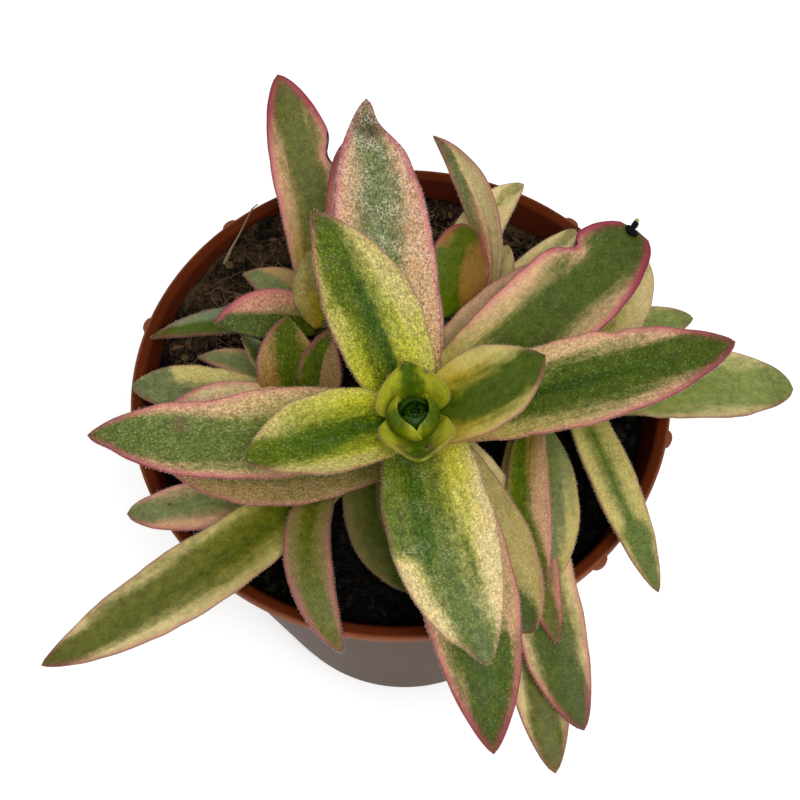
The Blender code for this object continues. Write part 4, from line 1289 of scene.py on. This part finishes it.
def green_reach(leaf, look, places, side):
    """How far out the green goes along a blade, as a share of the half width, plus NOISE_MIDDLE."""
    reach = look.stripe * (0.75 + 0.5 * places) + 0.5 * ease(places, 0.78, 1.0)
    for spill_side, start, end, limit in leaf.spill:
        if spill_side == side:
            begun = ease(places, start - 0.08, start + 0.06)
            ended = ease(places, end - 0.12, end + 0.08)
            reach = np.maximum(reach, limit * (begun * (1 - ended)))
    return reach + NOISE_MIDDLE


def leaf_body(settings, shoot, leaf, seed):
    """One blade as a bmesh, and the frame of its margins for the fringe."""
    form, colours = settings.leaf, settings.colours
    stations = form.long_stations
    if leaf.length <= 26:
        stations = SHORT_STATIONS
    elif leaf.length <= 40:
        stations = MIDDLE_STATIONS
    points, grids, frame_of = leaf_outline(form, leaf, seed, stations, shoot)
    places, *_, wide = frame_of
    look = LOOKS[leaf.look]
    shape = points.shape[:2]
    left = grids["blade"][..., 0] < 0
    later = ((0.2 + 0.8 * ease(places, 0.0, 0.6)) * (1 - 0.5 * ease(places, 0.9, 1.0)))[:, None]
    dose = np.zeros((*shape, 3))
    dose[..., 0] = look.blush * later
    dose[..., 1] = look.scurf
    reach = {side: green_reach(leaf, look, places, side)[:, None] for side in ("left", "right")}
    dose[..., 2] = np.where(left, reach["left"], reach["right"])
    mark = np.zeros((*shape, 3))
    mark[..., 0] = look.rib
    mark[..., 1] = (leaf.shift * np.clip((1 - places) * 2.2, 0, 1))[:, None]
    mark[..., 2] = scar_dose(leaf, places, wide, grids["blade"])
    touch = np.zeros((*shape, 3))
    touch[..., 0] = look.beads
    touch[..., 1] = (look.flush * ease(places, 0.5, 0.88))[:, None]
    touch[..., 2] = leaf.keel
    layers = {
        "blade": ("float_vector", grids["blade"]),
        "share": ("float_vector", grids["share"]),
        "margin": ("float", grids["margin"]),
        "dose": ("float_vector", dose),
        "mark": ("float_vector", mark),
        "touch": ("float_vector", touch),
    }
    draw = random.Random(seed)
    for part in ("core", "near", "far"):
        tint = np.array(getattr(colours, getattr(look, part))) * draw.uniform(0.95, 1.05)
        shades = np.ones((*shape, 4))
        shades[..., :3] = tint
        if part == "near":
            shades[..., 2] *= (0.55 + 0.45 * ease(places, 0.1, 0.6))[:, None]
        if part == "core":
            shades[..., 2] *= (0.2 + 0.8 * ease(places, 0.1, 0.7))[:, None]
            shades[..., :3] *= (1 - 0.2 * ease(places, 0.8, 1.0))[:, None, None]
        layers[part] = ("float_color", shades)
    return wrapped_grid(stations, shape[1], points, layers), frame_of


def bud_scale(settings, scale, seed):
    """One of the leaves that close over the growing point: a half shell, like half an egg, whose inner
    edge leaves one side of a lens-shaped opening."""
    columns, outside = 32, 16
    rows = outside * 2
    grid = (columns + 1, rows)
    points = np.zeros((*grid, 3))
    dose = (0.0, 0.0, scale.stripe + NOISE_MIDDLE)
    layers = {
        "blade": ("float_vector", np.zeros((*grid, 3))),
        "share": ("float_vector", np.zeros((*grid, 3))),
        "margin": ("float", np.full(grid, 3.0)),
        "dose": ("float_vector", np.broadcast_to(dose, (*grid, 3))),
        "mark": ("float_vector", np.zeros((*grid, 3))),
        "touch": ("float_vector", np.broadcast_to((0.2, 0.0, 0.0), (*grid, 3))),
    }
    look = LOOKS[scale.look]
    for part in ("core", "near", "far"):
        tint = getattr(settings.colours, getattr(look, part))
        layers[part] = ("float_color", np.broadcast_to(rgba(tint), (*grid, 4)))
    for column in range(columns + 1):
        side = (column / columns * 2 - 1) * math.radians(SHELL_SIDE)
        # The lens-shaped opening as a distance from the bud's middle, at this side
        bulge = (math.cos(side), math.sin(side) / scale.long)
        span = math.sqrt(bulge[0] ** 2 + (2 * scale.wide * bulge[1]) ** 2)
        lens = 2 * scale.wide / (bulge[0] + span)
        last = math.acos(min(0.98, lens / scale.radius))
        first = math.radians(SHELL_FOOT)
        # Toward its two ends the shell gets lower
        past = abs(side) - math.radians(SHELL_SLOPE)
        ended = max(0.0, past / math.radians(SHELL_SIDE - SHELL_SLOPE)) ** 2
        last += (math.radians(SHELL_END) - last) * ended
        for row in range(rows):
            inner = row >= outside
            up = (rows - 1 - row if inner else row) / (outside - 1)
            turn = first + (last - first) * up
            reach = scale.radius - (scale.thick * (1 - 0.75 * up**2) if inner else 0.0)
            height = scale.high * (1.0 if turn > 0 else 1.7) * math.sin(turn)
            heading = math.radians(scale.turn) + side
            points[column, row] = (
                (scale.middle[0] + reach * math.cos(turn) * math.cos(heading)) * MM,
                (scale.middle[1] + reach * math.cos(turn) * math.sin(heading)) * MM,
                (scale.middle[2] + height) * MM,
            )
            layers["blade"][1][column, row] = (3 * side, 6 * up, seed)
            layers["share"][1][column, row] = (side / math.radians(SHELL_SIDE), 0.1 + 0.3 * up, 1.0)
    return wrapped_grid(columns, rows, points, layers)


def stem_body(shoot):
    """The stem as a bmesh, swollen a little where each pair of leaves grows."""
    stations, sides = 26, 20
    top = min(shoot.head[2], max(leaf.root for leaf in shoot.leaves) + 1.0)
    heights = np.linspace(STEM_FOOT, top, stations + 1)
    points = np.zeros((stations + 1, sides, 3))
    for index, height in enumerate(heights):
        middle = np.array(stem_point(shoot, height))
        joint = sum(math.exp(-(((height - leaf.root) / 0.8) ** 2)) for leaf in shoot.leaves)
        radius = shoot.radius * (0.92 + 0.1 * min(1.0, joint))
        radius *= 0.3 if index == stations else 1 - 0.25 * (height - STEM_FOOT) / (top - STEM_FOOT)
        for side in range(sides):
            angle = 2 * math.pi * side / sides
            points[index, side] = (middle + radius * np.array([math.cos(angle), math.sin(angle), 0])) * MM
    return wrapped_grid(stations, sides, points, {})


def fringe_places(form, leaf, frame_of, draw):
    """Places of the short hairs along both margins of a blade."""
    places, line, along, across, up, wide = frame_of
    margin = form.margin / MM
    count = int(leaf.length * MM / form.hair_spacing)
    for side, sign in (("left", -1), ("right", 1)):
        for step in range(count):
            share = min(0.995, (step + draw.random()) / count)
            if share < BARE_SHARE:
                continue
            spot = share * (len(places) - 1)
            index = int(spot)
            rest = spot - index

            def between(values):
                return values[index] * (1 - rest) + values[index + 1] * rest

            width = between(wide[side])
            edge = min(margin / 2, 0.45 * width)
            crown = leaf.cup * width * ((width - edge) / max(width, SLIVER)) ** 2
            height = crown - edge * draw.uniform(0.3, 1.4)
            root = between(line) + between(across) * sign * (width - edge * 0.15) + between(up) * height
            lean = draw.uniform(0.1, 0.9)
            way = between(across) * sign + between(along) * lean + between(up) * draw.uniform(-0.3, 0.7)
            length = form.hair_length * draw.uniform(0.45, 1.0)
            turn = Vector(way).normalized().to_track_quat("Z", "Y").to_matrix().to_4x4()
            stretch = Matrix.Diagonal((length, length, length, 1))
            yield Matrix.Translation(Vector(root * MM)) @ turn @ stretch


def bristle():
    """A hair one unit long, standing on the origin along +Z."""
    bm = bmesh.new()
    lift = Matrix.Translation((0, 0, 0.5))
    bmesh.ops.create_cone(bm, cap_ends=True, segments=3, radius1=0.09, radius2=0.0, depth=1.0, matrix=lift)
    return bm


def grow(settings, name, materials):
    """Build a shoot: its leaves as one piece, its stem as another and its fringe of hairs as a third."""
    shoot = SHOOTS[name]
    leaf_material, stem_material, hair_material = materials
    first = SEED_STEP * list(SHOOTS).index(name)
    draw = random.Random(first)
    blades, hairs = [], []
    for index, leaf in enumerate(shoot.leaves):
        body, frame_of = leaf_body(settings, shoot, leaf, first + index)
        blades.append(body)
        hairs += fringe_places(settings.leaf, leaf, frame_of, draw)
    if name == "main_rosette":
        blades += [bud_scale(settings, scale, index) for index, scale in enumerate(BUD)]
    finish_piece(f"{name}_leaves", gather(blades), [leaf_material], [name], sharp=180)
    finish_piece(f"{name}_stem", stem_body(shoot), [stem_material])
    fringe = copies([bristle()], hairs, [1.0] * len(hairs))
    finish_piece(f"{name}_fringe", fringe, [hair_material], smooth=False)


def withered_tip(settings):
    """The dried, curled tip of the large leaf at the upper right: a black stub with a pale end."""
    lumps = (
        ((43.3, 15.4, 116.9), (0.8, 1.4, 0.6), 30, -0.3),
        ((44.0, 16.7, 117.2), (0.6, 0.9, 0.55), -20, -0.2),
        ((44.4, 17.4, 117.4), (0.45, 0.45, 0.4), 0, 0.7),
    )
    whole = bmesh.new()
    shade = whole.verts.layers.float.new("tone")
    for index, (middle, half, turn, tone) in enumerate(lumps):
        place = Matrix.Translation(Vector(middle) * MM) @ Matrix.Rotation(math.radians(turn), 4, "Z")
        stretch = Matrix.Diagonal((*(MM * reach for reach in half), 1))
        made = bmesh.ops.create_icosphere(whole, subdivisions=3, radius=1.0)["verts"]
        for vert in made:
            vert.co *= 1 + 0.3 * noise.noise(vert.co * 1.6 + Vector((index * 5.3, 0, 0)))
            vert.co = place @ stretch @ vert.co
            vert[shade] = tone
    tissue = litter("withered_leaf_tissue", settings, settings.colours.sand)
    finish_piece("main_rosette_withered_tip", whole, [tissue])


class CRASSULA_OT_plant(bpy.types.Operator):
    """Grow the main rosette and the side shoots"""

    bl_idname = "crassula.plant"
    bl_label = "Leaves and stems"

    def execute(self, context):
        settings = context.scene.crassula
        materials = leaf_skin(settings), stem_skin(settings), hair_wax(settings)
        for name in SHOOTS:
            grow(settings, name, materials)
        withered_tip(settings)
        return {"FINISHED"}


class CRASSULA_OT_straw(bpy.types.Operator):
    """Lay the dry straw over the rim"""

    bl_idname = "crassula.straw"
    bl_label = "Dry straw"

    def execute(self, context):
        settings = context.scene.crassula
        route = np.array(STRAW_ROUTE)
        stations, sides = 40, 8
        spots = np.linspace(0, len(route) - 1, stations + 1)
        line = np.stack([np.interp(spots, range(len(route)), route[:, axis]) for axis in range(3)], axis=1)
        blades = []
        for offset, width, reach in STRAW_BLADES:
            points = np.zeros((stations + 1, sides, 3))
            for index in range(stations + 1):
                place = index / stations
                beside = np.array([offset * (1 - place), offset * 0.6 * (1 - place), STRAW_LIFT])
                middle = line[int(index * reach)] + beside
                taper = 1 - 0.75 * place
                for side in range(sides):
                    angle = 2 * math.pi * side / sides
                    flat = width * taper * math.cos(angle)
                    high = STRAW_HALF_THICKNESS * math.sin(angle)
                    points[index, side] = (middle + np.array([flat * 0.85, -flat * 0.5, high])) * MM
            tone = {"tone": ("float", np.full((stations + 1, sides), 0.8))}
            blades.append(wrapped_grid(stations, sides, points, tone))
        straw = litter("dry_straw_blade", settings, settings.soil.straw, roughness=0.6)
        finish_piece("straw_blades", gather(blades), [straw], ["straw"], sharp=180)
        return {"FINISHED"}


# Stage

# Sizes and places in metres, and the camera's sensor in millimetres
TABLE_HALF_WIDTH = 4.0
LAMP_WIDTH = 0.4
LAMP_PLACE = (0.12, -0.34, 0.72)
LAMP_TARGET = (0, 0, 0.1)
CAMERA_TARGET = (-0.1 * MM, -4.8 * MM, POT_HEIGHT)
SENSOR_WIDTH = 36
NEAREST_SEEN = 0.01


class CRASSULA_OT_stage(bpy.types.Operator):
    """Set the white table, the soft light and the camera"""

    bl_idname = "crassula.stage"
    bl_label = "Studio"

    def execute(self, context):
        stage = context.scene.crassula.stage
        scene = context.scene
        bm = bmesh.new()
        bmesh.ops.create_grid(bm, x_segments=1, y_segments=1, size=TABLE_HALF_WIDTH)
        mesh = bpy.data.meshes.new("table")
        bm.to_mesh(mesh)
        bm.free()
        acrylic = new_material(
            "lit_white_acrylic",
            Base_Color=rgba(stage.floor),
            Roughness=0.9,
            Specular_IOR_Level=0.1,
            Emission_Color=rgba(stage.floor),
            Emission_Strength=stage.glow,
        )
        mesh.materials.append(acrylic[0])
        table = bpy.data.objects.new("table", mesh)
        scene.collection.objects.link(table)

        world = bpy.data.worlds.new("white_room")
        world.use_nodes = True
        world.node_tree.nodes["Background"].inputs["Color"].default_value = (1, 1, 1, 1)
        world.node_tree.nodes["Background"].inputs["Strength"].default_value = stage.sky
        scene.world = world
        lamp = bpy.data.lights.new("softbox", "AREA")
        lamp.shape = "DISK"
        lamp.size = LAMP_WIDTH
        lamp.energy = stage.key
        softbox = bpy.data.objects.new("softbox", lamp)
        softbox.location = LAMP_PLACE
        aim = Vector(LAMP_TARGET) - softbox.location
        softbox.rotation_euler = aim.to_track_quat("-Z", "Y").to_euler()
        scene.collection.objects.link(softbox)
        scene.view_settings.view_transform = "Standard"

        camera = bpy.data.cameras.new("camera")
        camera.lens = stage.lens
        camera.sensor_width = SENSOR_WIDTH
        camera.clip_start = NEAREST_SEEN
        aimed_at = Matrix.Translation(CAMERA_TARGET)
        tilt = Matrix.Rotation(math.pi / 2 - stage.elevation, 4, "X")
        roll = Matrix.Rotation(stage.roll, 4, "Z")
        view = bpy.data.objects.new("camera", camera)
        view.matrix_world = aimed_at @ tilt @ roll @ Matrix.Translation((0, 0, stage.distance))
        scene.collection.objects.link(view)
        scene.camera = view
        return {"FINISHED"}


class CRASSULA_PT_panel(bpy.types.Panel):
    """Buttons for each part of the potted crassula"""

    bl_idname = "CRASSULA_PT_panel"
    bl_label = "Potted crassula"
    bl_space_type = "VIEW_3D"
    bl_region_type = "UI"
    bl_category = "Crassula"

    def draw(self, context):
        settings = context.scene.crassula
        for operator, group in BUTTONS:
            box = self.layout.box()
            box.operator(operator)
            if group:
                values = getattr(settings, group)
                for name in values.__annotations__:
                    box.prop(values, name)


BUTTONS = (
    ("crassula.stage", "stage"),
    ("crassula.pot", "pot"),
    ("crassula.soil", "soil"),
    ("crassula.plant", "leaf"),
    ("crassula.straw", None),
)
CLASSES = (
    LeafForm,
    LeafColours,
    PotForm,
    SoilForm,
    StageForm,
    CrassulaSettings,
    CRASSULA_OT_stage,
    CRASSULA_OT_pot,
    CRASSULA_OT_soil,
    CRASSULA_OT_plant,
    CRASSULA_OT_straw,
    CRASSULA_PT_panel,
)


def register():
    for entry in CLASSES:
        bpy.utils.register_class(entry)
    bpy.types.Scene.crassula = PointerProperty(type=CrassulaSettings)


def unregister():
    del bpy.types.Scene.crassula
    for entry in reversed(CLASSES):
        bpy.utils.unregister_class(entry)


def main():
    register()
    bpy.ops.crassula.stage()
    bpy.ops.crassula.pot()
    bpy.ops.crassula.soil()
    bpy.ops.crassula.plant()
    bpy.ops.crassula.straw()


if __name__ == "__main__":
    main()
